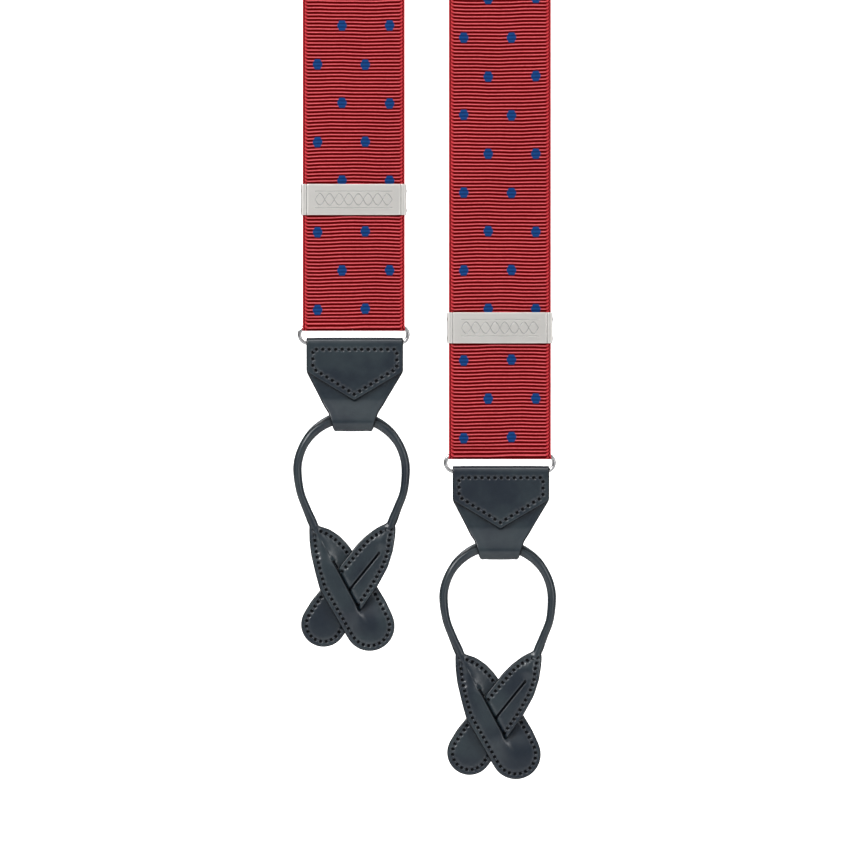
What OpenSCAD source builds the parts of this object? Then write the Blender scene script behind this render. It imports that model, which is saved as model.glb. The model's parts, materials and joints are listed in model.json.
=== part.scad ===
// Button braces with a Y-shaped back, hanging over a shoulder support.
// Millimetres. +Z is up, the wearer's front faces -Y, +X is to the right seen from the front.
// The origin is the axis of the support under the right ribbon, midway between the two ribbons.

/* [Ribbon] */
// Width of the woven grosgrain ribbon
ribbon_width = 37.8; // [34:0.1:40]
// Thickness of the ribbon
ribbon_thickness = 1.2; // [0.9:0.1:1.8]
// Distance between the two ribbons at the front
strap_pitch = 54.7; // [48:0.1:80]
// Radius of the ribbon's bend over the support, to the middle of the cloth
drape_radius = 30; // [20:1:60]
// How far the left bend sits above the right one
left_lift = 24; // [0:1:40]
// Lean of each ribbon towards the middle of the back
rear_lean = 5; // [0:0.5:12]
// Depth of the right ribbon's lower edge under the support's axis
front_drop = 600; // [450:5:700]

/* [Adjuster] */
// Width of the adjuster over its side walls
adjuster_width = 39.4; // [38:0.1:44]
// Height of the adjuster's cover
adjuster_height = 11.6; // [9:0.1:16]
// Height of the adjuster's middle above the ribbon's lower edge
adjuster_rise = 49.2; // [25:0.1:150]
// Sheet thickness of the adjuster's cover
sheet_thickness = 0.6; // [0.4:0.1:1]
// Radius of the lever's pin
pin_radius = 0.6; // [0.4:0.05:1]
// Radius of the bar that holds the ribbon's end
bar_radius = 0.7; // [0.5:0.05:1.2]

/* [Ring] */
// Radius of the ring's wire
wire_radius = 0.7; // [0.5:0.05:1]
// Outer width of the wire ring
ring_width = 42; // [40:0.5:50]
// Distance between the ring's two bars
ring_gap = 6.5; // [5:0.1:12]

/* [Leather] */
// Thickness of the leather
leather_thickness = 1.4; // [1:0.1:2]
// Width of the front leather tab
tab_width = 35.7; // [30:0.1:38]
// Radius of the rolled leather loop
cord_radius = 1.8; // [1.4:0.1:2.5]
// Radius of the loop's upper bend
loop_radius = 20.1; // [15:0.1:26]
// Thickness of a button leaf
leaf_thickness = 2.4; // [1.8:0.1:3.2]
// Width of a buttonhole
buttonhole_width = 1.6; // [1:0.1:3]
// Spacing of the stitches
stitch_pitch = 2.45; // [1.8:0.05:4]

/* [Back] */
// Height of the leather patch
patch_height = 66; // [50:1:90]
// Depth of the patch's top edge under the support's axis
patch_drop = 55; // [40:1:90]
// Visible length of the rear elastic
elastic_length = 142; // [100:1:200]
// Thickness of the rear elastic
elastic_thickness = 1.4; // [1:0.1:2]

/* [Hidden] */
$fn = 64;
half_width = ribbon_width / 2;
front_y = -drape_radius;
left_x = -strap_pitch / 2;
right_x = strap_pitch / 2;
right_end_z = -front_drop;
left_end_z = -front_drop + 2 * left_lift;
// length of front ribbon that shortens when the adjuster is raised
lower_run = 150;
fold_run = 4;
// running room between a wire and what is folded round it
fit = 0.05;
gap = 0.3;
// radius of the middle of the ribbon where it folds round a wire
fold_radius = wire_radius + fit + ribbon_thickness / 2;
// middle plane of the ring, tab and loop
hang_y = front_y + fold_radius;
tail_y = hang_y + fold_radius;
ring_top_z = wire_radius + fit + ribbon_thickness;
ring_low_z = ring_top_z - ring_gap;
bar_y = tail_y + bar_radius + fit + ribbon_thickness / 2;
bar_z = -3.9;
pin_y = bar_y - 1.25;
pin_z = 3.3;
wall_depth = 6.9;
cover_y = front_y - ribbon_thickness / 2 - gap - sheet_thickness;
tab_offset = 0.55;
loop_x = -0.8;
loop_z = -52.2;
// radius of the loop's two lower bends, and how far round they run
side_radius = 35;
side_sweep = 31;
leaf_a_y = hang_y - leaf_thickness - gap / 2;
leaf_b_y = hang_y + gap / 2;
rear_x = left_lift / 2 * tan(rear_lean);
rear_y = drape_radius;
patch_bottom_z = -patch_drop - patch_height;
rear_tab_top = -6;
rear_end_z = patch_bottom_z - elastic_length - rear_tab_top;
seam_depth = 24;

side_nodes = ["ribbon", "ribbon_lower", "ribbon_fold", "ribbon_tail", "tail_hem",
  "adjuster_cover", "adjuster_pin", "adjuster_bar", "adjuster_lever", "ring",
  "tab", "tab_stitching", "loop_cord", "leaf_a", "leaf_b", "leaf_stitching"];

/* ---------- helpers ---------- */

// a plan in X and Z given a thickness from y0 towards the back
module flat(y0, t) {
  translate([0, y0 + t, 0]) rotate([90, 0, 0]) linear_extrude(t) children();
}

// a profile in Y and Z run along X from x0 to x1
module along_x(x0, x1) {
  translate([x0, 0, 0]) rotate([90, 0, 90]) linear_extrude(x1 - x0) children();
}

module at_left() { translate([left_x, 0, left_end_z]) children(); }
module at_right() { translate([right_x, 0, right_end_z]) children(); }

// the rear leather end faces backwards
module at_rear() {
  translate([rear_x, rear_y + hang_y, rear_end_z]) rotate([0, 0, 180]) children();
}

function run(p, i) = norm(p[i + 1] - p[i]);
function total(p, i = 0) = i > len(p) - 2 ? 0 : run(p, i) + total(p, i + 1);
function walk(p, s, i = 0) =
  i > len(p) - 2 ? p[len(p) - 1]
  : s <= run(p, i) ? p[i] + (p[i + 1] - p[i]) * s / run(p, i)
  : walk(p, s - run(p, i), i + 1);
function bow(c, r, a0, a1, n) = [for (k = [0:n]) c + r * [cos(a0 + (a1 - a0) * k / n), sin(a0 + (a1 - a0) * k / n)]];

// a row of stitches, each a short thread through the leather
module stitches(path, pitch, y0, t, r = 0.4) {
  n = floor(total(path) / pitch);
  for (k = [0:n]) {
    p = walk(path, total(path) * k / n);
    translate([p[0], y0 + t, p[1]]) rotate([90, 0, 0]) cylinder(h = t, r = r, $fn = 16);
  }
}

/* ---------- ribbon ---------- */

// rear run, bend over the support and upper front run, with the bend's height and lean
module ribbon(lift, end_z, lean) {
  color([0.72, 0.12, 0.16]) union() {
    translate([0, 0, lift]) rotate([0, 90, 0]) rotate([0, 0, 90]) rotate_extrude(angle = 180)
      translate([drape_radius - ribbon_thickness / 2, -half_width]) square([ribbon_thickness, ribbon_width]);
    translate([-half_width, front_y - ribbon_thickness / 2, end_z + lower_run])
      cube([ribbon_width, ribbon_thickness, lift - end_z - lower_run]);
    translate([0, rear_y, lift]) rotate([0, lean, 0])
      translate([-half_width, -ribbon_thickness / 2, -rear_length(lift)])
        cube([ribbon_width, ribbon_thickness, rear_length(lift) + half_width * tan(rear_lean)]);
  }
}
function rear_length(lift) = (lift + patch_drop + seam_depth) / cos(rear_lean);

module ribbon_lower() {
  color([0.72, 0.12, 0.16])
    translate([-half_width, front_y - ribbon_thickness / 2, fold_run])
      cube([ribbon_width, ribbon_thickness, lower_run - fold_run]);
}

// turn of the ribbon round the ring's upper bar, flared where the ring starts to bend
module ribbon_fold() {
  color([0.66, 0.1, 0.14]) difference() {
    union() {
      translate([-half_width, front_y - ribbon_thickness / 2, ring_top_z])
        cube([ribbon_width, ribbon_thickness, fold_run - ring_top_z]);
      translate([-half_width, tail_y - ribbon_thickness / 2, ring_top_z])
        cube([ribbon_width, ribbon_thickness, fold_run - ring_top_z]);
      difference() {
        translate([-half_width, hang_y, ring_top_z]) rotate([0, 90, 0])
          cylinder(h = ribbon_width, r = fold_radius + ribbon_thickness / 2);
        translate([-half_width - 1, hang_y - 5, ring_top_z]) cube([ribbon_width + 2, 10, 5]);
      }
    }
    translate([-half_width - 1, hang_y, ring_top_z]) rotate([0, 90, 0])
      cylinder(h = ribbon_width + 2, r = wire_radius + fit);
    for (s = [0, 1]) mirror([s, 0, 0])
      translate([half_width - 2, hang_y, ring_top_z]) rotate([0, 90, 0])
        cylinder(h = 2.2, r1 = wire_radius + fit, r2 = wire_radius + 0.9);
  }
}

module ribbon_tail() {
  color([0.66, 0.1, 0.14])
    translate([-half_width, tail_y - ribbon_thickness / 2, fold_run])
      cube([ribbon_width, ribbon_thickness, adjuster_rise + bar_z - fold_run]);
}

// the ribbon's end, turned over the adjuster's bar and sewn down behind
module tail_hem() {
  color([0.66, 0.1, 0.14]) translate([0, 0, adjuster_rise + bar_z]) union() {
    difference() {
      translate([-half_width, bar_y, 0]) rotate([0, 90, 0])
        cylinder(h = ribbon_width, r = bar_radius + fit + ribbon_thickness);
      translate([-half_width - 1, bar_y, 0]) rotate([0, 90, 0])
        cylinder(h = ribbon_width + 2, r = bar_radius + fit);
      translate([-half_width - 1, bar_y - 5, -10]) cube([ribbon_width + 2, 10, 10]);
    }
    translate([-half_width, bar_y + bar_radius + fit, -12])
      cube([ribbon_width, ribbon_thickness, 12]);
  }
}

/* ---------- adjuster ---------- */

module wall_plan() {
  difference() {
    translate([cover_y, -adjuster_height / 2]) square([wall_depth, adjuster_height]);
    translate([cover_y + wall_depth - 1.5, adjuster_height / 2 - 1.5]) difference() {
      square([3, 3]);
      circle(r = 1.5);
    }
  }
}

// cover with its two side walls, creased beside the walls
module adjuster_cover() {
  wall_x = adjuster_width / 2;
  color([0.8, 0.8, 0.78]) translate([0, 0, adjuster_rise]) difference() {
    union() {
      translate([-wall_x, cover_y, -adjuster_height / 2])
        cube([adjuster_width, sheet_thickness, adjuster_height]);
      along_x(-wall_x, -wall_x + sheet_thickness - 0.1) wall_plan();
      along_x(wall_x - sheet_thickness + 0.1, wall_x) wall_plan();
    }
    for (s = [-1, 1])
      translate([s * (wall_x - 2), cover_y, 0]) cylinder(h = adjuster_height + 2, r = 0.15, center = true, $fn = 16);
    translate([-wall_x - 1, pin_y, pin_z]) rotate([0, 90, 0]) cylinder(h = adjuster_width + 2, r = pin_radius);
    translate([-wall_x - 1, bar_y, bar_z]) rotate([0, 90, 0]) cylinder(h = adjuster_width + 2, r = bar_radius);
  }
}

module adjuster_pin() {
  color([0.7, 0.7, 0.7]) translate([-adjuster_width / 2 - 0.2, pin_y, adjuster_rise + pin_z])
    rotate([0, 90, 0]) cylinder(h = adjuster_width + 0.4, r = pin_radius);
}

module adjuster_bar() {
  color([0.7, 0.7, 0.7]) translate([-adjuster_width / 2 - 0.2, bar_y, adjuster_rise + bar_z])
    rotate([0, 90, 0]) cylinder(h = adjuster_width + 0.4, r = bar_radius);
}

// gripping lever: barrel on the pin, teeth towards the ribbon, tongue with a lifting lip
module adjuster_lever() {
  lever_x = half_width - 0.5;
  barrel = 1.3;
  tongue = 4.8;
  tooth_pitch = 2.42;
  tooth_width = 1.2;
  color([0.75, 0.75, 0.74]) translate([0, pin_y, adjuster_rise + pin_z]) difference() {
    union() {
      translate([-lever_x, 0, 0]) rotate([0, 90, 0]) cylinder(h = 2 * lever_x, r = barrel);
      translate([-lever_x, 0.6, -tongue]) cube([2 * lever_x, barrel - 0.6, tongue]);
      translate([-lever_x + 6, 0.6, -tongue]) cube([2 * lever_x - 12, 3.2, 0.6]);
      for (k = [0:14])
        along_x(-lever_x + 1 + k * tooth_pitch, -lever_x + 1 + k * tooth_pitch + tooth_width)
          polygon([[-0.9, 0.7], [-1.9, -0.4], [-0.9, -0.9]]);
    }
    translate([-lever_x - 1, 0, 0]) rotate([0, 90, 0]) cylinder(h = 2 * lever_x + 2, r = pin_radius + fit);
  }
}

/* ---------- ring ---------- */

module ring() {
  bar_end = ring_width / 2 - wire_radius - ring_gap / 2;
  color([0.82, 0.82, 0.82]) translate([0, hang_y, 0]) union() {
    for (z = [ring_top_z, ring_low_z])
      translate([-bar_end, 0, z]) rotate([0, 90, 0]) cylinder(h = 2 * bar_end, r = wire_radius);
    for (s = [0, 1]) mirror([s, 0, 0])
      translate([bar_end, 0, (ring_top_z + ring_low_z) / 2]) rotate([90, 0, 0]) rotate([0, 0, -90])
        rotate_extrude(angle = 180) translate([ring_gap / 2, 0]) circle(r = wire_radius);
  }
}

/* ---------- leather tab ---------- */

tab_left = tab_offset - tab_width / 2;
tab_right = tab_offset + tab_width / 2;
tab_corner_z = -15.4;
// upper end of the front panel, hidden under the flap
panel_top_z = -9;
tab_tip = [0.2, -26.2];
// lower corners of the panel, where it starts to swell round the loop
panel_left = [-11.1, -28];
panel_right = [10.8, -28];
neck_left = [-9.5, -30.5];
neck_right = [9.2, -30.5];
tab_low_z = -37.6;
foot_left = [-7.2, tab_low_z];
foot_right = [6.8, tab_low_z];
// where the swelling reaches its full thickness
swell_z = -31.8;

// hollow through which the rolled loop slides
module loop_tunnel() {
  translate([loop_x, hang_y, loop_z]) rotate([90, 0, 0])
    rotate([0, 0, 45]) rotate_extrude(angle = 90) translate([loop_radius, 0]) circle(r = cord_radius + gap);
}

module tab_tunnel() {
  inner = wire_radius + fit;
  reach = cord_radius + gap + leather_thickness;
  difference() {
    intersection() {
      flat(hang_y - 5, 10)
        polygon([panel_left, neck_left, foot_left, foot_right, neck_right, panel_right]);
      along_x(-12, 12) union() {
        translate([hang_y, tab_low_z + reach]) circle(r = reach);
        polygon([[hang_y - inner, panel_left[1]], [hang_y + inner + leather_thickness, panel_left[1]],
          [hang_y + reach, swell_z], [hang_y + reach, tab_low_z + reach], [hang_y - reach, tab_low_z + reach],
          [hang_y - reach, swell_z]]);
      }
    }
    loop_tunnel();
  }
}

// one strip: front panel, round the loop, up the back, over the ring and down as a pointed flap
module tab() {
  inner = wire_radius + fit;
  color([0.17, 0.2, 0.24]) difference() {
    union() {
      flat(hang_y - inner - leather_thickness, leather_thickness)
        polygon([[tab_left, ring_low_z], [tab_right, ring_low_z], [tab_right, tab_corner_z], tab_tip,
          [tab_left, tab_corner_z]]);
      flat(hang_y + inner, leather_thickness)
        polygon([[tab_left, ring_low_z], [tab_right, ring_low_z], [tab_right, tab_corner_z], panel_right,
          panel_left, [tab_left, tab_corner_z]]);
      flat(hang_y - inner, 2 * inner)
        polygon([[tab_left, panel_top_z], [tab_right, panel_top_z], [tab_right, tab_corner_z], panel_right,
          panel_left, [tab_left, tab_corner_z]]);
      difference() {
        translate([tab_left, hang_y, ring_low_z]) rotate([0, 90, 0])
          cylinder(h = tab_width, r = inner + leather_thickness);
        translate([tab_left - 1, hang_y - 5, ring_low_z - 5]) cube([tab_width + 2, 10, 5]);
      }
      tab_tunnel();
    }
    translate([tab_left - 1, hang_y, ring_low_z]) rotate([0, 90, 0]) cylinder(h = tab_width + 2, r = inner);
    translate([tab_right - 1.5, hang_y, ring_low_z]) rotate([0, 90, 0])
      cylinder(h = 1.7, r1 = inner, r2 = inner + 0.4);
  }
}

seam_top_z = -8.3;
tab_inset = 2.4;
tab_seam = [tab_tip + [0, 2.5], [tab_left + tab_inset, -14], [tab_left + tab_inset, seam_top_z],
  [tab_right - tab_inset, seam_top_z], [tab_right - tab_inset, -14], tab_tip + [0, 2.5]];

module tab_stitching() {
  color([0.08, 0.1, 0.14])
    stitches(tab_seam, stitch_pitch, hang_y - wire_radius - fit - leather_thickness - 0.1,
      2 * (wire_radius + fit + leather_thickness) + 0.2);
}

/* ---------- rolled loop and button leaves ---------- */

module loop_cord() {
  color([0.14, 0.17, 0.21]) translate([loop_x, hang_y, loop_z]) rotate([90, 0, 0]) union() {
    rotate_extrude(angle = 180) translate([loop_radius, 0]) circle(r = cord_radius);
    translate([side_radius - loop_radius, 0, 0]) rotate([0, 0, 180])
      rotate_extrude(angle = side_sweep) translate([side_radius, 0]) circle(r = cord_radius);
    mirror([1, 0, 0]) translate([side_radius - loop_radius, 0, 0]) rotate([0, 0, 180])
      rotate_extrude(angle = side_sweep) translate([side_radius, 0]) circle(r = cord_radius);
  }
}

lobe_a = [5.7, -110.5];
lobe_a_radius = 9.3;
lobe_b = [-11.4, -109.6];
lobe_b_radius = 8.3;
// how far out from the middle of a lobe the leaf's straight part is carried
lobe_hold = 0.99;
slot_a = [[-7.6, -86.1], [1, -101.8]];
slot_b = [[9.4, -83.3], [-1.4, -96.6]];

module slot(ends) {
  d = ends[1] - ends[0];
  translate(ends[0]) rotate(atan2(d[1], d[0])) union() {
    translate([0, -buttonhole_width / 2]) square([norm(d), buttonhole_width]);
    circle(r = buttonhole_width / 2);
    translate([norm(d), 0]) circle(r = buttonhole_width / 2);
  }
}

// leaf on the left neck, with its round end low on the right
module leaf_a() {
  color([0.17, 0.2, 0.24]) difference() {
    union() {
      flat(leaf_a_y, leaf_thickness) polygon([[-17.4, -69.2], [-13.9, -68.4], [-13.3, -71.2], [-11.9, -73], [-8.9, -74.2], [-5.2, -76.7], [-2, -80.1],
        [8.8, -95.7], [12.1, -101.2], lobe_a + lobe_hold * lobe_a_radius * [cos(25), sin(25)],
        lobe_a + lobe_hold * lobe_a_radius * [cos(204), sin(204)], [-12.6, -97], [-14.3, -90.8],
        [-16, -83.5], [-16.7, -78.6], [-16.9, -74]]);
      flat(leaf_a_y, leaf_thickness) translate(lobe_a) circle(r = lobe_a_radius);
    }
    flat(leaf_a_y - 1, leaf_thickness + 2) slot(slot_a);
  }
}

// leaf on the right neck, with its round end low on the left, behind the first
module leaf_b() {
  color([0.17, 0.2, 0.24]) difference() {
    union() {
      flat(leaf_b_y, leaf_thickness) polygon([[12.3, -68.4], [15.8, -69.2], [16.3, -73], [15.6, -77.5], [14.7, -82.4], [12.8, -88.4], [8.8, -95.7],
        lobe_b + lobe_hold * lobe_b_radius * [cos(-38), sin(-38)],
        lobe_b + lobe_hold * lobe_b_radius * [cos(150), sin(150)], [-16, -101.2], [-12.6, -97], [-0.4, -82],
        [1, -80.1], [4.4, -76.7], [8.6, -73.6], [11.2, -72.2], [12, -70.6]]);
      flat(leaf_b_y, leaf_thickness) translate(lobe_b) circle(r = lobe_b_radius);
    }
    flat(leaf_b_y - 1, leaf_thickness + 2) slot(slot_b);
  }
}

seam_inset = 2;
seam_a = concat([[-14.8, -74], [-14.5, -79], [-13.9, -84], [-12.3, -90.5], [-10.7, -96]],
  bow(lobe_a, lobe_a_radius - seam_inset, 207, 395, 12),
  [[7.1, -96.8], [-3.6, -81.4], [-6.4, -78.4], [-9.6, -76.1], [-12.6, -75]]);
seam_b = concat([[14.2, -74], [13.4, -78], [12.7, -82.9], [11, -87.6], [7.1, -94.6]],
  bow(lobe_b, lobe_b_radius - seam_inset, -28, -217, 12),
  [[-11.1, -98], [1.1, -83.4], [5.7, -78.2], [9.5, -75.5], [12.4, -74.2]]);

module leaf_stitching() {
  color([0.08, 0.1, 0.14]) union() {
    stitches(seam_a, 2.1, leaf_a_y - 0.1, leaf_thickness + 0.2);
    stitches(seam_b, 2.1, leaf_b_y - 0.1, leaf_thickness + 0.2);
  }
}

/* ---------- back ---------- */

patch_half = 42.5;
patch_shoulder = patch_half * tan(rear_lean);
elastic_half = half_width + 2;

module patch_plan() {
  translate([rear_x, -patch_drop]) polygon([[-patch_half, -patch_shoulder], [0, 0], [patch_half, -patch_shoulder],
    [patch_half - 1.2, -patch_shoulder - 13], [elastic_half + 2, -patch_height + 16],
    [elastic_half, -patch_height + 8], [elastic_half, -patch_height], [-elastic_half, -patch_height],
    [-elastic_half, -patch_height + 8], [-elastic_half - 2, -patch_height + 16],
    [-patch_half + 1.2, -patch_shoulder - 13]]);
}

// the ply that faces away from the wearer
module back_patch() {
  color([0.17, 0.2, 0.24]) flat(rear_y + elastic_thickness / 2, leather_thickness) patch_plan();
}

module back_patch_lining() {
  color([0.2, 0.22, 0.26]) flat(rear_y - elastic_thickness / 2 - leather_thickness, leather_thickness) patch_plan();
}

function patch_point(x, z) = [rear_x + x, -patch_drop + z];
patch_seam = [patch_point(-39.6, -6.2), patch_point(0, -3), patch_point(39.6, -6.2), patch_point(38.5, -15.6),
  patch_point(19.2, -patch_height + 16), patch_point(17.6, -patch_height + 7.6), patch_point(17.6, -patch_height + 2.6),
  patch_point(-17.6, -patch_height + 2.6), patch_point(-17.6, -patch_height + 7.6),
  patch_point(-19.2, -patch_height + 16), patch_point(-38.5, -15.6), patch_point(-39.6, -6.2)];

module back_patch_stitching() {
  color([0.08, 0.1, 0.14])
    stitches(patch_seam, stitch_pitch, rear_y - elastic_thickness / 2 - leather_thickness - 0.1,
      elastic_thickness + 2 * leather_thickness + 0.2);
}

// from inside the patch down to the mouth of the rear tab
module rear_elastic() {
  color([0.1, 0.13, 0.22]) translate([rear_x - half_width, rear_y - elastic_thickness / 2, rear_end_z + rear_tab_top])
    cube([ribbon_width, elastic_thickness, elastic_length + 20]);
}

// the elastic's lower end, sewn between the tab's plies
module rear_elastic_end() {
  color([0.1, 0.13, 0.22]) translate([-half_width, hang_y - elastic_thickness / 2, rear_tab_top - elastic_end])
    cube([ribbon_width, elastic_thickness, elastic_end - 0.1]);
}

elastic_end = 11;
rear_tab_half = 20.8;
rear_tab_side = -17.5;

module rear_tab_plan() {
  polygon([[-rear_tab_half, rear_tab_top], [rear_tab_half, rear_tab_top], [rear_tab_half, rear_tab_side],
    panel_right, panel_left, [-rear_tab_half, rear_tab_side]]);
}

module rear_tab() {
  half = elastic_thickness / 2;
  color([0.17, 0.2, 0.24]) union() {
    flat(hang_y - half - leather_thickness, leather_thickness) rear_tab_plan();
    flat(hang_y + half, leather_thickness) rear_tab_plan();
    flat(hang_y - half, elastic_thickness) polygon([[-17, -20], [17, -20], panel_right, panel_left]);
    tab_tunnel();
  }
}

rear_seam = [[-rear_tab_half + 2.2, rear_tab_top - 2.4], [rear_tab_half - 2.2, rear_tab_top - 2.4],
  [rear_tab_half - 2.2, rear_tab_side + 0.9], [9.4, -27], [-9.7, -27], [-rear_tab_half + 2.2, rear_tab_side + 0.9],
  [-rear_tab_half + 2.2, rear_tab_top - 2.4]];

module rear_tab_stitching() {
  reach = elastic_thickness / 2 + leather_thickness + 0.1;
  color([0.08, 0.1, 0.14]) stitches(rear_seam, stitch_pitch, hang_y - reach, 2 * reach);
}

/* ---------- the pieces ---------- */

translate([left_x, 0, 0]) ribbon(left_lift, left_end_z, -rear_lean);  // left_ribbon
at_left() ribbon_lower();  // left_ribbon_lower
at_left() ribbon_fold();  // left_ribbon_fold
at_left() ribbon_tail();  // left_ribbon_tail
at_left() tail_hem();  // left_tail_hem
at_left() adjuster_cover();  // left_adjuster_cover
at_left() adjuster_pin();  // left_adjuster_pin
at_left() adjuster_bar();  // left_adjuster_bar
at_left() adjuster_lever();  // left_adjuster_lever
at_left() ring();  // left_ring
at_left() tab();  // left_tab
at_left() tab_stitching();  // left_tab_stitching
at_left() loop_cord();  // left_loop_cord
at_left() leaf_a();  // left_leaf_a
at_left() leaf_b();  // left_leaf_b
at_left() leaf_stitching();  // left_leaf_stitching
translate([right_x, 0, 0]) ribbon(0, right_end_z, rear_lean);  // right_ribbon
at_right() ribbon_lower();  // right_ribbon_lower
at_right() ribbon_fold();  // right_ribbon_fold
at_right() ribbon_tail();  // right_ribbon_tail
at_right() tail_hem();  // right_tail_hem
at_right() adjuster_cover();  // right_adjuster_cover
at_right() adjuster_pin();  // right_adjuster_pin
at_right() adjuster_bar();  // right_adjuster_bar
at_right() adjuster_lever();  // right_adjuster_lever
at_right() ring();  // right_ring
at_right() tab();  // right_tab
at_right() tab_stitching();  // right_tab_stitching
at_right() loop_cord();  // right_loop_cord
at_right() leaf_a();  // right_leaf_a
at_right() leaf_b();  // right_leaf_b
at_right() leaf_stitching();  // right_leaf_stitching
back_patch();
back_patch_lining();
back_patch_stitching();
rear_elastic();
at_rear() rear_elastic_end();
at_rear() rear_tab();
at_rear() rear_tab_stitching();
at_rear() loop_cord();  // rear_loop_cord
at_rear() leaf_a();  // rear_leaf_a
at_rear() leaf_b();  // rear_leaf_b
at_rear() leaf_stitching();  // rear_leaf_stitching
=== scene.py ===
# %% [markdown]
# # Button braces over a shoulder
# These cells dress a finished solid model of a pair of braces: two dotted grosgrain ribbons, their metal
# adjusters and wire rings, and leather ends that button on to trousers. The solid model gives every
# position, so each cell first asks it where a piece is and then builds the detailed piece there.

# %% Load the solid model
import json
import math
import bpy
import numpy as np
from mathutils import Matrix, Vector
from mathutils.geometry import delaunay_2d_cdt


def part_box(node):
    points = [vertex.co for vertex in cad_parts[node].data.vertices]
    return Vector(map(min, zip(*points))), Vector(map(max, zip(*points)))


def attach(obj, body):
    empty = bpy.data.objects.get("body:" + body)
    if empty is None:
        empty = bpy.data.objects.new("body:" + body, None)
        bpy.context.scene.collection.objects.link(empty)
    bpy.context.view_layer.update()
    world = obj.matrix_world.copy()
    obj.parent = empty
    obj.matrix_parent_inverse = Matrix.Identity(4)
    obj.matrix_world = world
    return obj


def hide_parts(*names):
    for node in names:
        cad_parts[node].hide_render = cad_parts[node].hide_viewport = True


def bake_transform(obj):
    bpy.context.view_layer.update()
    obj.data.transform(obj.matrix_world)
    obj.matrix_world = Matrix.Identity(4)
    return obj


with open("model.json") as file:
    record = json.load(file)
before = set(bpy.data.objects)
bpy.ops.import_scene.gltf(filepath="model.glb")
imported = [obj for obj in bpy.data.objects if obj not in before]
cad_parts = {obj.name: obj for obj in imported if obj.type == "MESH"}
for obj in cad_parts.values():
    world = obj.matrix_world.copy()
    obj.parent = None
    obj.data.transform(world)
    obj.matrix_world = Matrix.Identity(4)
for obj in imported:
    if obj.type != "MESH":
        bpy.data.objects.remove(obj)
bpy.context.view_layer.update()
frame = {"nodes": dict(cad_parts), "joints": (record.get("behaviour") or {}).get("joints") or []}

MM = 0.001
JOINTS = {j["name"]: j for j in frame["joints"]}
print("solid pieces:", len(frame["nodes"]), "joints:", len(JOINTS))

# %% [markdown]
# Each leather end is drawn once in its own millimetres: X to the right, Y towards the back with 0 in the
# middle of the wire ring, Z up from the ribbon's lower edge. A matrix then carries it to the left, right
# or rear place. The rolled loop turns about a known point, so that joint's position is the anchor.

# %% Places of the three leather ends
LOOP_X, LOOP_Z = -0.8, -52.2
SIDES = ("left", "right")
ENDS = ("left", "right", "rear")


def end_matrix(end):
    pivot = Vector(JOINTS[f"{end}_loop_slide"]["pos_m"])
    turn = Matrix.Rotation(math.pi if end == "rear" else 0, 4, "Z")
    return Matrix.Translation(pivot) @ turn @ Matrix.Scale(MM, 4) @ Matrix.Translation((-LOOP_X, 0, -LOOP_Z))


PLACE = {end: end_matrix(end) for end in ENDS}
for end in ENDS:
    print(end, "end hangs from", [round(v, 4) for v in PLACE[end].translation])

# %% [markdown]
# A mesh is made from plain arrays of points and faces. Numbers that a material needs later, such as how far
# along the cloth a point lies or how near it is to a cut edge, are stored on the points as attributes.

# %% Turning arrays into a piece


def make_piece(name, verts, faces, material, attributes=None, matrix=None):
    mesh = bpy.data.meshes.new(name)
    mesh.from_pydata(np.asarray(verts, float).tolist(), [], [tuple(int(i) for i in f) for f in faces])
    if matrix is not None:
        mesh.transform(matrix)
    for key, values in (attributes or {}).items():
        values = np.asarray(values, np.float32)
        kind = "FLOAT_VECTOR" if values.ndim == 2 else "FLOAT"
        layer = mesh.attributes.new(key, kind, "POINT")
        layer.data.foreach_set("vector" if values.ndim == 2 else "value", values.ravel())
    mesh.validate()
    mesh.polygons.foreach_set("use_smooth", [True] * len(mesh.polygons))
    mesh.materials.append(material)
    piece = bpy.data.objects.new(name, mesh)
    bpy.context.scene.collection.objects.link(piece)
    return piece


def dress(piece, body, nodes):
    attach(piece, body)
    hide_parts(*nodes)


# %% [markdown]
# Materials are built from shader nodes. Two short helpers keep the wiring readable: one adds a node and
# fills its sockets, and one adds a Math node. A value can be a number or the output of another node.

# %% Helpers for shader nodes


def add_node(tree, kind, settings=None, **sockets):
    node = tree.nodes.new(kind)
    for key, value in (settings or {}).items():
        setattr(node, key, value)
    for key, value in sockets.items():
        name = key.replace("_", " ")
        socket = next(s for s in node.inputs if s.name == name and s.enabled)
        if isinstance(value, bpy.types.NodeSocket):
            tree.links.new(value, socket)
        else:
            socket.default_value = value
    return node


def calc(tree, operation, *values):
    node = tree.nodes.new("ShaderNodeMath")
    node.operation = operation
    for socket, value in zip(node.inputs, values):
        if isinstance(value, bpy.types.NodeSocket):
            tree.links.new(value, socket)
        else:
            socket.default_value = value
    return node.outputs[0]


def blend_colours(tree, factor, first, second):
    node = tree.nodes.new("ShaderNodeMix")
    node.data_type = "RGBA"
    for socket, value in ((node.inputs[0], factor), (node.inputs[6], first), (node.inputs[7], second)):
        if isinstance(value, bpy.types.NodeSocket):
            tree.links.new(value, socket)
        else:
            socket.default_value = value if not isinstance(value, tuple) else (*value[:3], 1)
    return node.outputs[2]


def step_between(tree, value, low, high):
    node = add_node(tree, "ShaderNodeMapRange", {"interpolation_type": "SMOOTHSTEP"}, Value=value)
    node.inputs["From Min"].default_value = low
    node.inputs["From Max"].default_value = high
    return node.outputs[0]


def invert(tree, value):
    return calc(tree, "SUBTRACT", 1.0, value)


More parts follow.
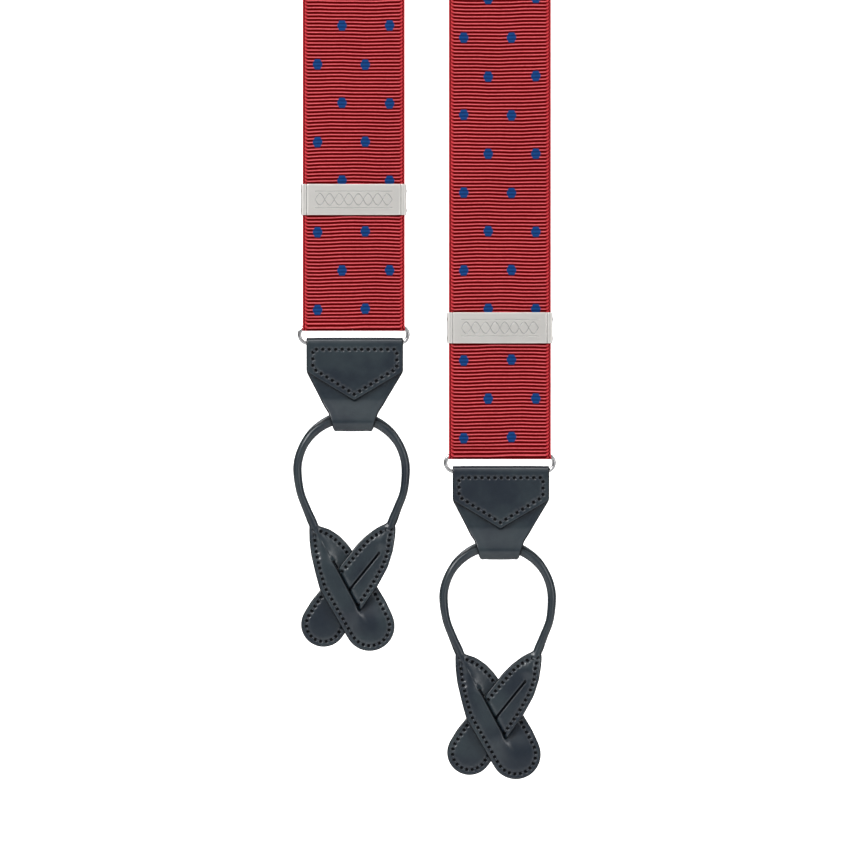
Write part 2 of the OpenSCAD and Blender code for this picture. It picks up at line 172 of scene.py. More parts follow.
def new_group(name, inputs, outputs):
    group = bpy.data.node_groups.new(name, "ShaderNodeTree")
    for label, kind, default in inputs:
        socket = group.interface.new_socket(label, in_out="INPUT", socket_type=kind)
        socket.default_value = default
    for label, kind in outputs:
        group.interface.new_socket(label, in_out="OUTPUT", socket_type=kind)
    return group, group.nodes.new("NodeGroupInput").outputs, group.nodes.new("NodeGroupOutput").inputs


def use_group(tree, group, **sockets):
    node = tree.nodes.new("ShaderNodeGroup")
    node.node_tree = group
    for key, value in sockets.items():
        socket = node.inputs[key.replace("_", " ")]
        if isinstance(value, bpy.types.NodeSocket):
            tree.links.new(value, socket)
        else:
            socket.default_value = value
    return node.outputs


def new_material(name, **fixed):
    material = bpy.data.materials.new(name)
    material.use_nodes = True
    tree = material.node_tree
    shader = tree.nodes["Principled BSDF"]
    for key, value in fixed.items():
        shader.inputs[key.replace("_", " ")].default_value = value
    return material, tree, shader


def bump_into(tree, shader, height, distance):
    bump = add_node(tree, "ShaderNodeBump", Height=height, Strength=1.0, Distance=distance)
    tree.links.new(bump.outputs[0], shader.inputs["Normal"])


# %% [markdown]
# Nothing handled stays one even colour. This first shared group gives a slow drift in tone and a finer
# mottle, both read from the point's place on the object, and every material uses it at its own size.

# %% Shared group: uneven tone
tone_group, tone_in, tone_out = new_group(
    "uneven_tone",
    [("Size", "NodeSocketFloat", 0.02), ("Amount", "NodeSocketFloat", 0.1)],
    [("Tone", "NodeSocketFloat"), ("Fine", "NodeSocketFloat")],
)
place = add_node(tone_group, "ShaderNodeTexCoord").outputs["Object"]
per_size = calc(tone_group, "DIVIDE", 1.0, tone_in["Size"])
slow = add_node(tone_group, "ShaderNodeTexNoise", Vector=place, Scale=per_size, Detail=3.0)
quick_scale = calc(tone_group, "MULTIPLY", per_size, 9.0)
quick = add_node(tone_group, "ShaderNodeTexNoise", Vector=place, Scale=quick_scale, Detail=2.0)
centred = calc(tone_group, "SUBTRACT", slow.outputs["Fac"], 0.5)
tone_group.links.new(calc(tone_group, "MULTIPLY_ADD", centred, tone_in["Amount"], 1.0), tone_out["Tone"])
tone_group.links.new(quick.outputs["Fac"], tone_out["Fine"])
print("shared group", tone_group.name)

# %% [markdown]
# Leather has a pebbled grain of small cells with finer pores between them. A Voronoi cell pattern and a
# noise pattern together give its height, and every leather here shares the group at the grain's own size.

# %% Shared group: leather grain
grain_group, grain_in, grain_out = new_group(
    "leather_grain",
    [("Cell", "NodeSocketFloat", 0.0006)],
    [("Height", "NodeSocketFloat"), ("Pores", "NodeSocketFloat")],
)
place = add_node(grain_group, "ShaderNodeTexCoord").outputs["Object"]
per_cell = calc(grain_group, "DIVIDE", 1.0, grain_in["Cell"])
wander = add_node(
    grain_group, "ShaderNodeTexNoise", Vector=place, Scale=calc(grain_group, "MULTIPLY", per_cell, 0.6)
)
moved = add_node(grain_group, "ShaderNodeVectorMath", {"operation": "MULTIPLY_ADD"})
grain_group.links.new(wander.outputs["Color"], moved.inputs[0])
moved.inputs[1].default_value = (0.0006, 0.0006, 0.0006)
grain_group.links.new(place, moved.inputs[2])
cells = add_node(
    grain_group, "ShaderNodeTexVoronoi", {"feature": "SMOOTH_F1"}, Vector=moved.outputs[0], Scale=per_cell
)
pores = add_node(
    grain_group, "ShaderNodeTexNoise", Vector=place, Scale=calc(grain_group, "MULTIPLY", per_cell, 2.2),
    Detail=3.0
)
cell_height = calc(grain_group, "SUBTRACT", 1.0, cells.outputs["Distance"])
grain_group.links.new(
    calc(grain_group, "MULTIPLY_ADD", pores.outputs["Fac"], 0.45, cell_height), grain_out["Height"]
)
grain_group.links.new(pores.outputs["Fac"], grain_out["Pores"])
print("shared group", grain_group.name)

# %% [markdown]
# Woven cloth is thread over thread. This group takes the distance across and along the cloth in
# millimetres and gives the small over-and-under of the threads, for the ribbons and the elastic alike.

# %% Shared group: fine threads
thread_group, thread_in, thread_out = new_group(
    "fine_threads",
    [
        ("Across", "NodeSocketFloat", 0.0), ("Along", "NodeSocketFloat", 0.0),
        ("Warp Pitch", "NodeSocketFloat", 0.3), ("Weft Pitch", "NodeSocketFloat", 0.6),
    ],
    [("Height", "NodeSocketFloat")],
)


def wave(tree, value, pitch):
    turns = calc(tree, "DIVIDE", value, pitch)
    return calc(tree, "SINE", calc(tree, "MULTIPLY_ADD", turns, 2 * math.pi, 0.0))


def cloth_place(tree):
    """Distances across and along the cloth, and a third stored mark."""
    cloth = add_node(tree, "ShaderNodeAttribute", {"attribute_name": "cloth"}).outputs["Vector"]
    return add_node(tree, "ShaderNodeSeparateXYZ", Vector=cloth).outputs


warp = wave(thread_group, thread_in["Across"], thread_in["Warp Pitch"])
weft = wave(thread_group, thread_in["Along"], thread_in["Weft Pitch"])
crossing = calc(thread_group, "MULTIPLY", warp, weft)
summed = calc(thread_group, "MULTIPLY_ADD", warp, 0.5, crossing)
thread_group.links.new(calc(thread_group, "MULTIPLY_ADD", summed, 0.3, 0.5), thread_out["Height"])
print("shared group", thread_group.name)

# %% [markdown]
# Grosgrain is a ribbon with thick cords running across it. The light catches the crown of each cord and
# the grooves between stay dark, and the colour paints this as well: a painted highlight on each crown and
# painted shade in each groove. Navy dots are woven in, so their outline climbs in whole cords. Along both
# edges a narrow selvedge is woven finer, in little zigzags. All of it is worked out from the stored
# distances across and along the cloth, so the pattern follows the ribbon wherever it bends.

# %% Ribbon sizes and colours
RIBBON_HALF = 19.1
SELVEDGE = 1.75
ROW_PITCH = 14.52
RIB_PITCH = ROW_PITCH / 11
FIRST_ROW = 56.2
DOT_HALF_ACROSS, DOT_HALF_ALONG = 1.80, 1.95
DOT_A = (-13.5, 4.35)
DOT_B = (-4.35, 13.45)
# Painted light: each cord's crown is coloured as a highlight and its groove as shade, for the crimson and the
# navy dots.
CRIMSON_CROWN_HIGHLIGHT = (0.84, 0.122, 0.142)
CRIMSON_GROOVE_SHADE = (0.082, 0.0, 0.0004)
SELVEDGE_RED = (0.56, 0.045, 0.055)
DOT_NAVY = (0.009, 0.050, 0.185)
DOT_NAVY_GROOVE_SHADE = (0.006, 0.030, 0.115)


# %% Grosgrain material
def dot_row(tree, across, along_snapped, first_row, centres):
    """1 inside the dots of every other row."""
    place_in_pair = calc(tree, "SUBTRACT", along_snapped, first_row - ROW_PITCH)
    wrapped = calc(tree, "SUBTRACT", calc(tree, "FLOORED_MODULO", place_in_pair, 2 * ROW_PITCH), ROW_PITCH)
    far = calc(tree, "POWER", calc(tree, "DIVIDE", wrapped, DOT_HALF_ALONG), 2.0)
    masks = []
    for centre in centres:
        aside = calc(tree, "DIVIDE", calc(tree, "SUBTRACT", across, centre), DOT_HALF_ACROSS)
        reach = calc(tree, "ADD", far, calc(tree, "POWER", calc(tree, "ABSOLUTE", aside), 2.0))
        masks.append(invert(tree, step_between(tree, reach, 0.9, 1.12)))
    return calc(tree, "MAXIMUM", *masks)


def selvedge_weave(tree, across, along):
    """1 on the light threads of the selvedge, 0 in the dark zigzag and the dark gaps beside the body."""
    from_edge = calc(tree, "SUBTRACT", RIBBON_HALF, calc(tree, "ABSOLUTE", across))
    swing = calc(tree, "PINGPONG", along, RIB_PITCH / 2)
    off_line = calc(
        tree, "ABSOLUTE", calc(tree, "SUBTRACT", from_edge, calc(tree, "MULTIPLY_ADD", swing, 0.7, 0.42))
    )
    line = invert(tree, step_between(tree, off_line, 0.16, 0.34))
    gaps = calc(tree, "MULTIPLY_ADD", wave(tree, along, RIB_PITCH), 0.5, 0.5)
    near_body = step_between(tree, from_edge, SELVEDGE - 0.75, SELVEDGE - 0.35)
    dark = calc(tree, "MAXIMUM", line, calc(tree, "MULTIPLY", gaps, near_body))
    return invert(tree, dark)


def grosgrain(name):
    material, tree, shader = new_material(name, Roughness=0.75, Specular_IOR_Level=0.02)
    split = cloth_place(tree)
    across, along = split[0], split[1]
    ribs = calc(tree, "DIVIDE", calc(tree, "SUBTRACT", along, FIRST_ROW), RIB_PITCH)
    crown = calc(
        tree, "MULTIPLY_ADD", calc(tree, "COSINE", calc(tree, "MULTIPLY", ribs, 2 * math.pi)), 0.5, 0.5
    )
    whole_rib = calc(tree, "ROUND", ribs)
    in_rib = calc(tree, "MULTIPLY", calc(tree, "SUBTRACT", ribs, whole_rib), 0.55)
    snapped = calc(tree, "MULTIPLY", calc(tree, "ADD", whole_rib, in_rib), RIB_PITCH)
    dots = calc(
        tree, "MAXIMUM",
        dot_row(tree, across, snapped, 0.0, DOT_B),
        dot_row(tree, across, snapped, ROW_PITCH, DOT_A),
    )
    threads = use_group(
        tree, thread_group, Across=across, Along=along, Warp_Pitch=0.34, Weft_Pitch=RIB_PITCH / 2
    )
    tone = use_group(tree, tone_group, Size=0.03, Amount=0.22)
    edge = step_between(
        tree, calc(tree, "ABSOLUTE", across), RIBBON_HALF - SELVEDGE - 0.12, RIBBON_HALF - SELVEDGE + 0.12
    )
    zigzag = selvedge_weave(tree, across, along)
    # How far each point is coloured towards the highlit crown rather than the shaded groove: painted light
    # and shade of the cords.
    crown_lit = calc(
        tree, "MULTIPLY", step_between(tree, crown, 0.48, 1.14),
        calc(tree, "MULTIPLY_ADD", threads["Height"], 0.4, 0.76)
    )
    fleck_place = add_node(
        tree, "ShaderNodeCombineXYZ", X=calc(tree, "MULTIPLY", across, 0.9),
        Y=calc(tree, "MULTIPLY", ribs, 3.1)
    )
    fleck = add_node(tree, "ShaderNodeTexNoise", Vector=fleck_place.outputs[0], Scale=1.0, Detail=2.0)
    crown_lit = calc(tree, "MULTIPLY", crown_lit, calc(tree, "MULTIPLY_ADD", fleck.outputs["Fac"], 0.7, 0.66))
    body = blend_colours(tree, crown_lit, CRIMSON_GROOVE_SHADE, CRIMSON_CROWN_HIGHLIGHT)
    # The dots are also painted lighter on the crowns and darker in the grooves.
    navy = blend_colours(tree, step_between(tree, crown, 0.0, 0.7), DOT_NAVY_GROOVE_SHADE, DOT_NAVY)
    # The selvedge's dark zigzag and the gaps beside the body take the same painted groove shade.
    rim = blend_colours(tree, zigzag, CRIMSON_GROOVE_SHADE, SELVEDGE_RED)
    with_dots = blend_colours(tree, dots, body, navy)
    whole = blend_colours(tree, edge, with_dots, rim)
    toned = add_node(tree, "ShaderNodeHueSaturation", Color=whole, Value=tone["Tone"])
    tree.links.new(toned.outputs[0], shader.inputs["Base Color"])
    tree.links.new(calc(tree, "MULTIPLY_ADD", crown, -0.22, 0.8), shader.inputs["Roughness"])
    woven = calc(
        tree, "MULTIPLY_ADD", threads["Height"], 0.35,
        calc(tree, "MULTIPLY", crown, invert(tree, edge))
    )
    raised = calc(tree, "MULTIPLY_ADD", calc(tree, "MULTIPLY", zigzag, edge), 0.7, woven)
    bump_into(tree, shader, raised, 0.00022)
    return material


RIBBON_CLOTH = grosgrain("dotted_grosgrain")
print("made", RIBBON_CLOTH.name)

# %% [markdown]
# The leather is smooth calf dyed a charcoal navy, pressed and waxed to a satin shine. Its cut edges are
# painted black, and the black runs a little onto the rounded rim as painted shade. Just inside it a lighter
# line, patchy at random, is a painted highlight along the rim. The stitch holes are dark hollows, coloured
# near black as painted shade. Each point knows its nearness to an edge and to a hole, and the material
# mixes by those two masks. The shine is a clear coat. Painted edges and holes go without it, and it fades
# at glancing angles.

# %% Leather materials
NAVY_HIDE = (0.0050, 0.0095, 0.0175)
NAVY_HIDE_LIGHT = (0.023, 0.034, 0.039)
EDGE_BLACK = (0.004, 0.005, 0.007)


def leather(name, dark, light, rough, cell=0.0006, depth=0.00005, coat=0.9):
    material, tree, shader = new_material(name, Specular_IOR_Level=0.10, Coat_Roughness=0.24)
    edge = add_node(tree, "ShaderNodeAttribute", {"attribute_name": "edge"}).outputs["Fac"]
    pit_shade = add_node(tree, "ShaderNodeAttribute", {"attribute_name": "pit_shade"}).outputs["Fac"]
    grain = use_group(tree, grain_group, Cell=cell)
    tone = use_group(tree, tone_group, Size=0.012, Amount=1.1)
    mottle = step_between(tree, tone["Tone"], 0.82, 1.2)
    hide = blend_colours(
        tree, calc(tree, "MULTIPLY_ADD", grain["Pores"], 0.25, calc(tree, "MULTIPLY", mottle, 0.6)), dark,
        light
    )
    # A lighter line just inside the painted edge, patchy at random: a painted highlight along the rounded
    # rim.
    rim_ring = calc(
        tree, "MULTIPLY", step_between(tree, edge, 0.01, 0.12),
        invert(tree, step_between(tree, edge, 0.15, 0.3))
    )
    rim_highlight = blend_colours(
        tree, calc(tree, "MULTIPLY", rim_ring, calc(tree, "MULTIPLY", tone["Fine"], 0.7)), hide, light
    )
    # Black edge paint, which also runs onto the rounded rim as painted shade.
    painted = blend_colours(tree, step_between(tree, edge, 0.22, 0.5), rim_highlight, EDGE_BLACK)
    # Near black in the stitch holes: painted shade.
    with_hole_shade = blend_colours(tree, pit_shade, painted, (0.0015, 0.002, 0.003))
    tree.links.new(with_hole_shade, shader.inputs["Base Color"])
    facing = add_node(tree, "ShaderNodeLayerWeight", Blend=0.5).outputs["Facing"]
    dull = calc(
        tree, "MAXIMUM", pit_shade,
        calc(tree, "MAXIMUM", step_between(tree, edge, 0.2, 0.5), step_between(tree, facing, 0.2, 0.7))
    )
    rubbed = calc(tree, "MULTIPLY_ADD", tone["Fine"], 0.16, rough - 0.08)
    tree.links.new(calc(tree, "MULTIPLY_ADD", pit_shade, 0.4, rubbed), shader.inputs["Roughness"])
    waxed = calc(tree, "MULTIPLY_ADD", tone["Fine"], 0.3, 0.8)
    gloss = calc(tree, "MULTIPLY", invert(tree, dull), calc(tree, "MULTIPLY", waxed, coat))
    tree.links.new(gloss, shader.inputs["Coat Weight"])
    smooth_rim = invert(tree, step_between(tree, edge, 0.3, 0.7))
    bump_into(tree, shader, calc(tree, "MULTIPLY", grain["Height"], smooth_rim), depth)
    return material


CALF = leather("navy_leather", NAVY_HIDE, NAVY_HIDE_LIGHT, 0.34)
LINING = leather("leather_lining", (0.012, 0.017, 0.026), (0.035, 0.043, 0.055), 0.72, 0.0009, 0.00012, 0.0)
print("made", CALF.name, LINING.name)

# %% [markdown]
# The waxed sewing thread is two plies twisted together, so a fine slanting ridge runs round it. The
# elastic's lengthwise threads are about twice as coarse as the ribbon's, and its surface is soft and dull.

# %% Thread and elastic materials


def thread_material():
    material, tree, shader = new_material("navy_thread", Roughness=0.55, Sheen_Weight=0.2)
    split = cloth_place(tree)
    ply = wave(tree, calc(tree, "ADD", split[0], split[1]), 0.42)
    tone = use_group(tree, tone_group, Size=0.004, Amount=0.8)
    # Each ply is coloured lighter on its crest and darker where it dips: painted highlight and painted shade
    # of the twist.
    lay = calc(tree, "MULTIPLY_ADD", ply, 0.5, 0.5)
    colour = blend_colours(
        tree, calc(tree, "MULTIPLY", lay, tone["Tone"]), (0.008, 0.012, 0.020), (0.030, 0.042, 0.060)
    )
    tree.links.new(colour, shader.inputs["Base Color"])
    bump_into(tree, shader, lay, 0.00008)
    return material


def elastic_material():
    material, tree, shader = new_material(
        "navy_elastic", Sheen_Weight=0.3, Sheen_Roughness=0.5, Specular_IOR_Level=0.25
    )
    split = cloth_place(tree)
    threads = use_group(tree, thread_group, Across=split[0], Along=split[1], Warp_Pitch=0.72, Weft_Pitch=0.9)
    tone = use_group(tree, tone_group, Size=0.02, Amount=0.35)
    lit = calc(tree, "MULTIPLY", threads["Height"], tone["Tone"])
    colour = blend_colours(tree, lit, (0.006, 0.010, 0.026), (0.040, 0.058, 0.115))
    tree.links.new(colour, shader.inputs["Base Color"])
    tree.links.new(calc(tree, "MULTIPLY_ADD", threads["Height"], -0.15, 0.85), shader.inputs["Roughness"])
    bump_into(tree, shader, threads["Height"], 0.00025)
    return material


THREAD = thread_material()
ELASTIC = elastic_material()
print("made", THREAD.name, ELASTIC.name)

# %% [markdown]
# The metal parts are nickel-plated steel. The adjuster's cover is brushed along its length to a satin
# face, with a fine engraved band of two crossing waves as its only ornament. The small inner parts are
# plain plate, and the ring's wire is polished.

# %% Metal materials
COVER_TOP = (0.76, 0.74, 0.70)
CREASE_X = 17.65
BAND_HALF_LENGTH, BAND_SWING, BAND_WAVE = 14.4, 2.1, 7.2


def brushed(tree, stretch):
    place = add_node(tree, "ShaderNodeTexCoord").outputs["Object"]
    drawn = add_node(tree, "ShaderNodeMapping", Vector=place)
    drawn.inputs["Scale"].default_value = stretch
    return add_node(tree, "ShaderNodeTexNoise", Vector=drawn.outputs[0], Scale=1.0, Detail=4.0).outputs["Fac"]


def engraved_band(tree, across, up):
    """1 in the lines of the ornament: two waves that cross, between two straight rules."""
    swing = wave(tree, across, BAND_WAVE)
    lines = []
    for sign in (1, -1):
        gap = calc(
            tree, "ABSOLUTE", calc(tree, "SUBTRACT", up, calc(tree, "MULTIPLY", swing, sign * BAND_SWING))
        )
        lines.append(invert(tree, step_between(tree, gap, 0.12, 0.34)))
    off_rule = calc(tree, "ABSOLUTE", calc(tree, "SUBTRACT", calc(tree, "ABSOLUTE", up), BAND_SWING + 1.0))
    rule = invert(tree, step_between(tree, off_rule, 0.06, 0.2))
    inside = calc(
        tree, "SUBTRACT", 1.0,
        step_between(tree, calc(tree, "ABSOLUTE", across), BAND_HALF_LENGTH, BAND_HALF_LENGTH + 0.1)
    )
    return calc(tree, "MULTIPLY", inside, calc(tree, "MAXIMUM", calc(tree, "MAXIMUM", *lines), rule))


def cover_material():
    material, tree, shader = new_material("satin_metal", Metallic=1.0, Specular_Tint=(0.45, 0.45, 0.45, 1))
    split = cloth_place(tree)
    lines = calc(tree, "MULTIPLY", engraved_band(tree, split[0], split[1]), split[2])
    tone = use_group(tree, tone_group, Size=0.02, Amount=0.12)
    hair = brushed(tree, (60, 60, 9000))
    # The pressed crease is coloured dark: painted shade along the crease. The engraved lines are the cover's
    # own dark lines.
    off_crease = calc(tree, "ABSOLUTE", calc(tree, "SUBTRACT", calc(tree, "ABSOLUTE", split[0]), CREASE_X))
    crease = invert(tree, step_between(tree, off_crease, 0.10, 0.26))
    engraving_and_crease_shade = calc(tree, "MAXIMUM", calc(tree, "MULTIPLY", lines, 0.75), calc(tree, "MULTIPLY", crease, 0.9))
    base = blend_colours(tree, engraving_and_crease_shade, COVER_TOP, (0.30, 0.295, 0.29))
    toned = add_node(tree, "ShaderNodeHueSaturation", Color=base, Value=tone["Tone"])
    tree.links.new(toned.outputs[0], shader.inputs["Base Color"])
    tree.links.new(calc(tree, "MULTIPLY_ADD", hair, 0.22, 0.30), shader.inputs["Roughness"])
    height = calc(tree, "SUBTRACT", calc(tree, "MULTIPLY", hair, 0.06), lines)
    bump_into(tree, shader, height, 0.00012)
    return material


def plain_metal(name, colour, rough, spread):
    material, tree, shader = new_material(name, Metallic=1.0, Specular_Tint=(0.3, 0.3, 0.3, 1))
    tone = use_group(tree, tone_group, Size=0.006, Amount=0.2)
    base = blend_colours(tree, tone["Fine"], tuple(c * 0.86 for c in colour), colour)
    tree.links.new(base, shader.inputs["Base Color"])
    tree.links.new(calc(tree, "MULTIPLY_ADD", tone["Fine"], spread, rough), shader.inputs["Roughness"])
    bump_into(tree, shader, tone["Fine"], 0.00001)
    return material


COVER = cover_material()
PLATE = plain_metal("plated_steel", (0.62, 0.61, 0.59), 0.28, 0.2)
WIRE = plain_metal("polished_wire", (0.47, 0.47, 0.47), 0.10, 0.12)
print("made", COVER.name, PLATE.name, WIRE.name)

# %% [markdown]
# One ribbon makes the whole strap: its end is sewn over the adjuster's bar, it runs down behind, turns
# round the ring's upper bar, climbs the front, bends over the shoulder and drops to the back patch. So the
# strap is one path of straight runs and turns, measured from the ribbon's lower edge, and every piece of
# ribbon is cut from it. That keeps ribs and dots in step where two pieces meet.

# %% Path of the ribbon
FOLD_RADIUS = 1.35
FOLD_Z = 1.95
BAR_Z = 45.3
HEM_DROP = 12.0
DRAPE = 30.0
LEAN = math.radians(5)
LEAN_EASE = 30.0


def ribbon_legs(rise):
    """Each leg: where it starts, how long it is, how far it turns, its first point and heading."""
    legs = []
    turn = math.pi * FOLD_RADIUS
    parts = [
        (HEM_DROP, 0), (turn, -math.pi), (BAR_Z - FOLD_Z, 0), (turn, math.pi), (rise - FOLD_Z, 0),
        (math.pi * DRAPE, math.pi), (120, 0)
    ]
    s = FOLD_Z - sum(length for length, _ in parts[:4])
    y, z, heading = 3 * FOLD_RADIUS, BAR_Z - HEM_DROP, 0.0
    for length, bend in parts:
        legs.append((s, length, bend, y, z, heading))
        y, z = advance(y, z, heading, length, bend, length)
        heading += bend
        s += length
    return legs


def advance(y, z, heading, length, bend, run):
    if bend == 0:
        return y + run * math.sin(heading), z + run * math.cos(heading)
    radius = length / bend
    end = heading + bend * run / length
    return y + radius * (math.cos(heading) - math.cos(end)), z + radius * (math.sin(end) - math.sin(heading))


def ribbon_at(legs, s):
    """Height and depth of the ribbon's middle at s, and its heading."""
    leg = next((g for g in reversed(legs) if s >= g[0]), legs[0])
    start, length, bend, y, z, heading = leg
    y, z = advance(y, z, heading, length, bend, s - start)
    return y, z, heading + (bend * (s - start) / length if bend else 0)


def lean_shift(s, rise):
    """How far the ribbon has moved towards the middle of the back, and the slope of that move."""
    past = s - (rise + math.pi * DRAPE) + LEAN_EASE
    slope = math.tan(LEAN) * min(1, max(0, past / (2 * LEAN_EASE)))
    shift = slope * max(0, past) / 2 if past < 2 * LEAN_EASE else math.tan(LEAN) * (past - LEAN_EASE)
    return shift, slope


# The rows of dots below the adjuster sit further along than the rows above: three whole ribs, and a small
# stretch for the rest. The skip falls in a groove.
ROW_OFFSET = 4.5
DOT_SKIP = 3 * RIB_PITCH
SKIP_BELOW = 48.94
SPREAD = ROW_OFFSET - DOT_SKIP
GRIP_LOW, GRIP_HIGH = 45, 53


def weave_to_path(a):
    """The cloth is a little stretched where the adjuster grips it."""
    return np.interp(
        a, (-500, GRIP_LOW + SPREAD, GRIP_HIGH, 5000), (-500 - SPREAD, GRIP_LOW, GRIP_HIGH, 5000)
    )


def path_to_weave(s):
    path, weave = (-500 - SPREAD, GRIP_LOW, GRIP_HIGH, 5000), (-500, GRIP_LOW + SPREAD, GRIP_HIGH, 5000)
    return float(np.interp(s, path, weave))


STRAP = {}
for side in SIDES:
    fold_lo, fold_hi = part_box(f"{side}_ribbon_fold")
    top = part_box(f"{side}_ribbon")[1].z
    rise = (top - fold_lo.z) / MM - DRAPE - 0.6
    STRAP[side] = {
        "x": (fold_lo.x + fold_hi.x) / 2 / MM,
        "y": JOINTS[f"{side}_ring_swing"]["pos_m"][1] / MM,
        "z": fold_lo.z / MM,
        "rise": rise,
        "legs": ribbon_legs(rise),
        "inward": 1 if side == "left" else -1,
    }
    print(side, "ribbon climbs", round(rise, 1), "mm to its bend")

# %% [markdown]
# The ribs are real relief. Rows of points lie four to a rib, high on the crown and low in the groove, and
# each row waves slightly across the width, as the cords of a soft ribbon do. The selvedges stay level with
# small scallops. Both faces are ribbed, because the cord runs inside the cloth.

# %% Weave a length of ribbon
ROWS_PER_RIB = 4
INNER = np.linspace(-17.0, 17.0, 9)
COLUMNS = np.concatenate([[-19.1, -18.95, -18.3, -17.5, -17.3], INNER, [17.3, 17.5, 18.3, 18.95, 19.1]])


def rib_wander(u, a):
    return 0.006 * u + 0.17 * np.sin(u / 6.3 + a / 31) + 0.07 * np.sin(u / 2.3 - a / 11)


def strip_faces(rows, columns):
    """Closed skin of a strip: front rows first, then back rows."""
    front = np.arange(rows * columns).reshape(rows, columns)
    back = front + rows * columns
    quads = [np.stack([front[:-1, :-1], front[:-1, 1:], front[1:, 1:], front[1:, :-1]], -1).reshape(-1, 4)]
    quads.append(np.stack([back[:-1, :-1], back[1:, :-1], back[1:, 1:], back[:-1, 1:]], -1).reshape(-1, 4))
    for line, other in (
        (front[:, 0], back[:, 0]), (back[:, -1], front[:, -1]), (back[0], front[0]), (front[-1], back[-1])
    ):
        quads.append(np.stack([line[:-1], line[1:], other[1:], other[:-1]], -1))
    return np.concatenate(quads)


def weave_ribbon(name, side, s_from, s_to):
    strap = STRAP[side]
    a_from, a_to = path_to_weave(s_from), path_to_weave(s_to)
    count = max(3, int(round((a_to - a_from) / RIB_PITCH * ROWS_PER_RIB)))
    weave = np.linspace(a_from, a_to, count + 1)
    u = COLUMNS
    ends = np.minimum(1, np.minimum(weave - a_from, a_to - weave) / 2)[:, None]
    crown = 0.5 + 0.5 * np.cos(2 * np.pi * (weave - FIRST_ROW) / RIB_PITCH)
    selvedge = (np.abs(u) > 17.2)[None, :]
    level = np.where(
        selvedge, 0.75 + 0.12 * np.cos(4 * np.pi * (weave[:, None] - FIRST_ROW) / RIB_PITCH), crown[:, None]
    )
    half = 0.40 + 0.20 * level
    half = np.where(np.abs(u)[None, :] > 19.0, 0.28, half)
    if s_to - s_from < 10:
        half = np.maximum(half, 0.56)
    shift = rib_wander(u[None, :], weave[:, None]) * ends
    middle = np.zeros((len(weave), len(u), 3))
    normal = np.zeros_like(middle)
    path = weave_to_path(weave)
    for i, s in enumerate(path):
        y, z, heading = ribbon_at(strap["legs"], s)
        move, slope = lean_shift(s, strap["rise"])
        along = np.array([strap["inward"] * slope, math.sin(heading), math.cos(heading)])
        along /= np.linalg.norm(along)
        out = np.array([0, -math.cos(heading), math.sin(heading)])
        across = np.cross(along, out)
        base = np.array([strap["x"] + strap["inward"] * move, strap["y"] + y, strap["z"] + z])
        middle[i] = base + u[:, None] * across + shift[i][:, None] * along
        normal[i] = out
    front = middle + normal * half[..., None]
    back = middle - normal * half[..., None]
    along = weave + DOT_SKIP * (weave < SKIP_BELOW)
    cloth = np.stack(
        [np.broadcast_to(u, half.shape), np.broadcast_to(along[:, None], half.shape), half * 0], -1
    )
    verts = np.concatenate([front.reshape(-1, 3), back.reshape(-1, 3)])
    marks = np.concatenate([cloth.reshape(-1, 3)] * 2)
    return make_piece(name, verts * MM, strip_faces(len(weave), len(u)), RIBBON_CLOTH, {"cloth": marks})


# %% [markdown]
# The long run and the tail behind are laid in place and tied to no body. The run climbs from just above the
# ring over the shoulder and down the back, and the tail goes from the adjuster down to the fold at the ring.
# The turn round the ring goes with the fold, and the hem with the adjuster.

# %% Lay the ribbons
HEM_START = FOLD_Z - 2 * math.pi * FOLD_RADIUS - (BAR_Z - FOLD_Z) - HEM_DROP
TAIL_TOP = HEM_START + HEM_DROP + math.pi * FOLD_RADIUS
JOIN_Z = 4.0
TAIL_JOIN = FOLD_Z - math.pi * FOLD_RADIUS - (JOIN_Z - FOLD_Z)
for side in SIDES:
    strap = STRAP[side]
    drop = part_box(f"{side}_ribbon")[1].z / MM - DRAPE - 0.6 + 79
    rear_end = strap["rise"] + math.pi * DRAPE + drop / math.cos(LEAN)
    run = weave_ribbon(f"{side}_ribbon_run", side, JOIN_Z, rear_end)
    turn = weave_ribbon(f"{side}_ribbon_turn", side, TAIL_JOIN, JOIN_Z)
    tail = weave_ribbon(f"{side}_ribbon_tail_run", side, TAIL_TOP, TAIL_JOIN)
    hem = weave_ribbon(f"{side}_ribbon_hem", side, HEM_START, TAIL_TOP)
    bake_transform(run)
    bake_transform(tail)
    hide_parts(f"{side}_ribbon", f"{side}_ribbon_lower")
    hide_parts(f"{side}_ribbon_tail")
    dress(turn, f"{side}_fold", [f"{side}_ribbon_fold"])
    dress(hem, f"{side}_adjuster", [f"{side}_tail_hem"])

# %% [markdown]
# The back strap is woven elastic: thick lengthwise ribs of covered rubber, crossed by a fine weft. It
# stretches between the patch and the rear leather end. Its mesh is laid in place, and only its sewn end goes
# with the rear end.

# %% Rear elastic
elastic_lo, elastic_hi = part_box("rear_elastic")
ELASTIC_RIB = 1.35


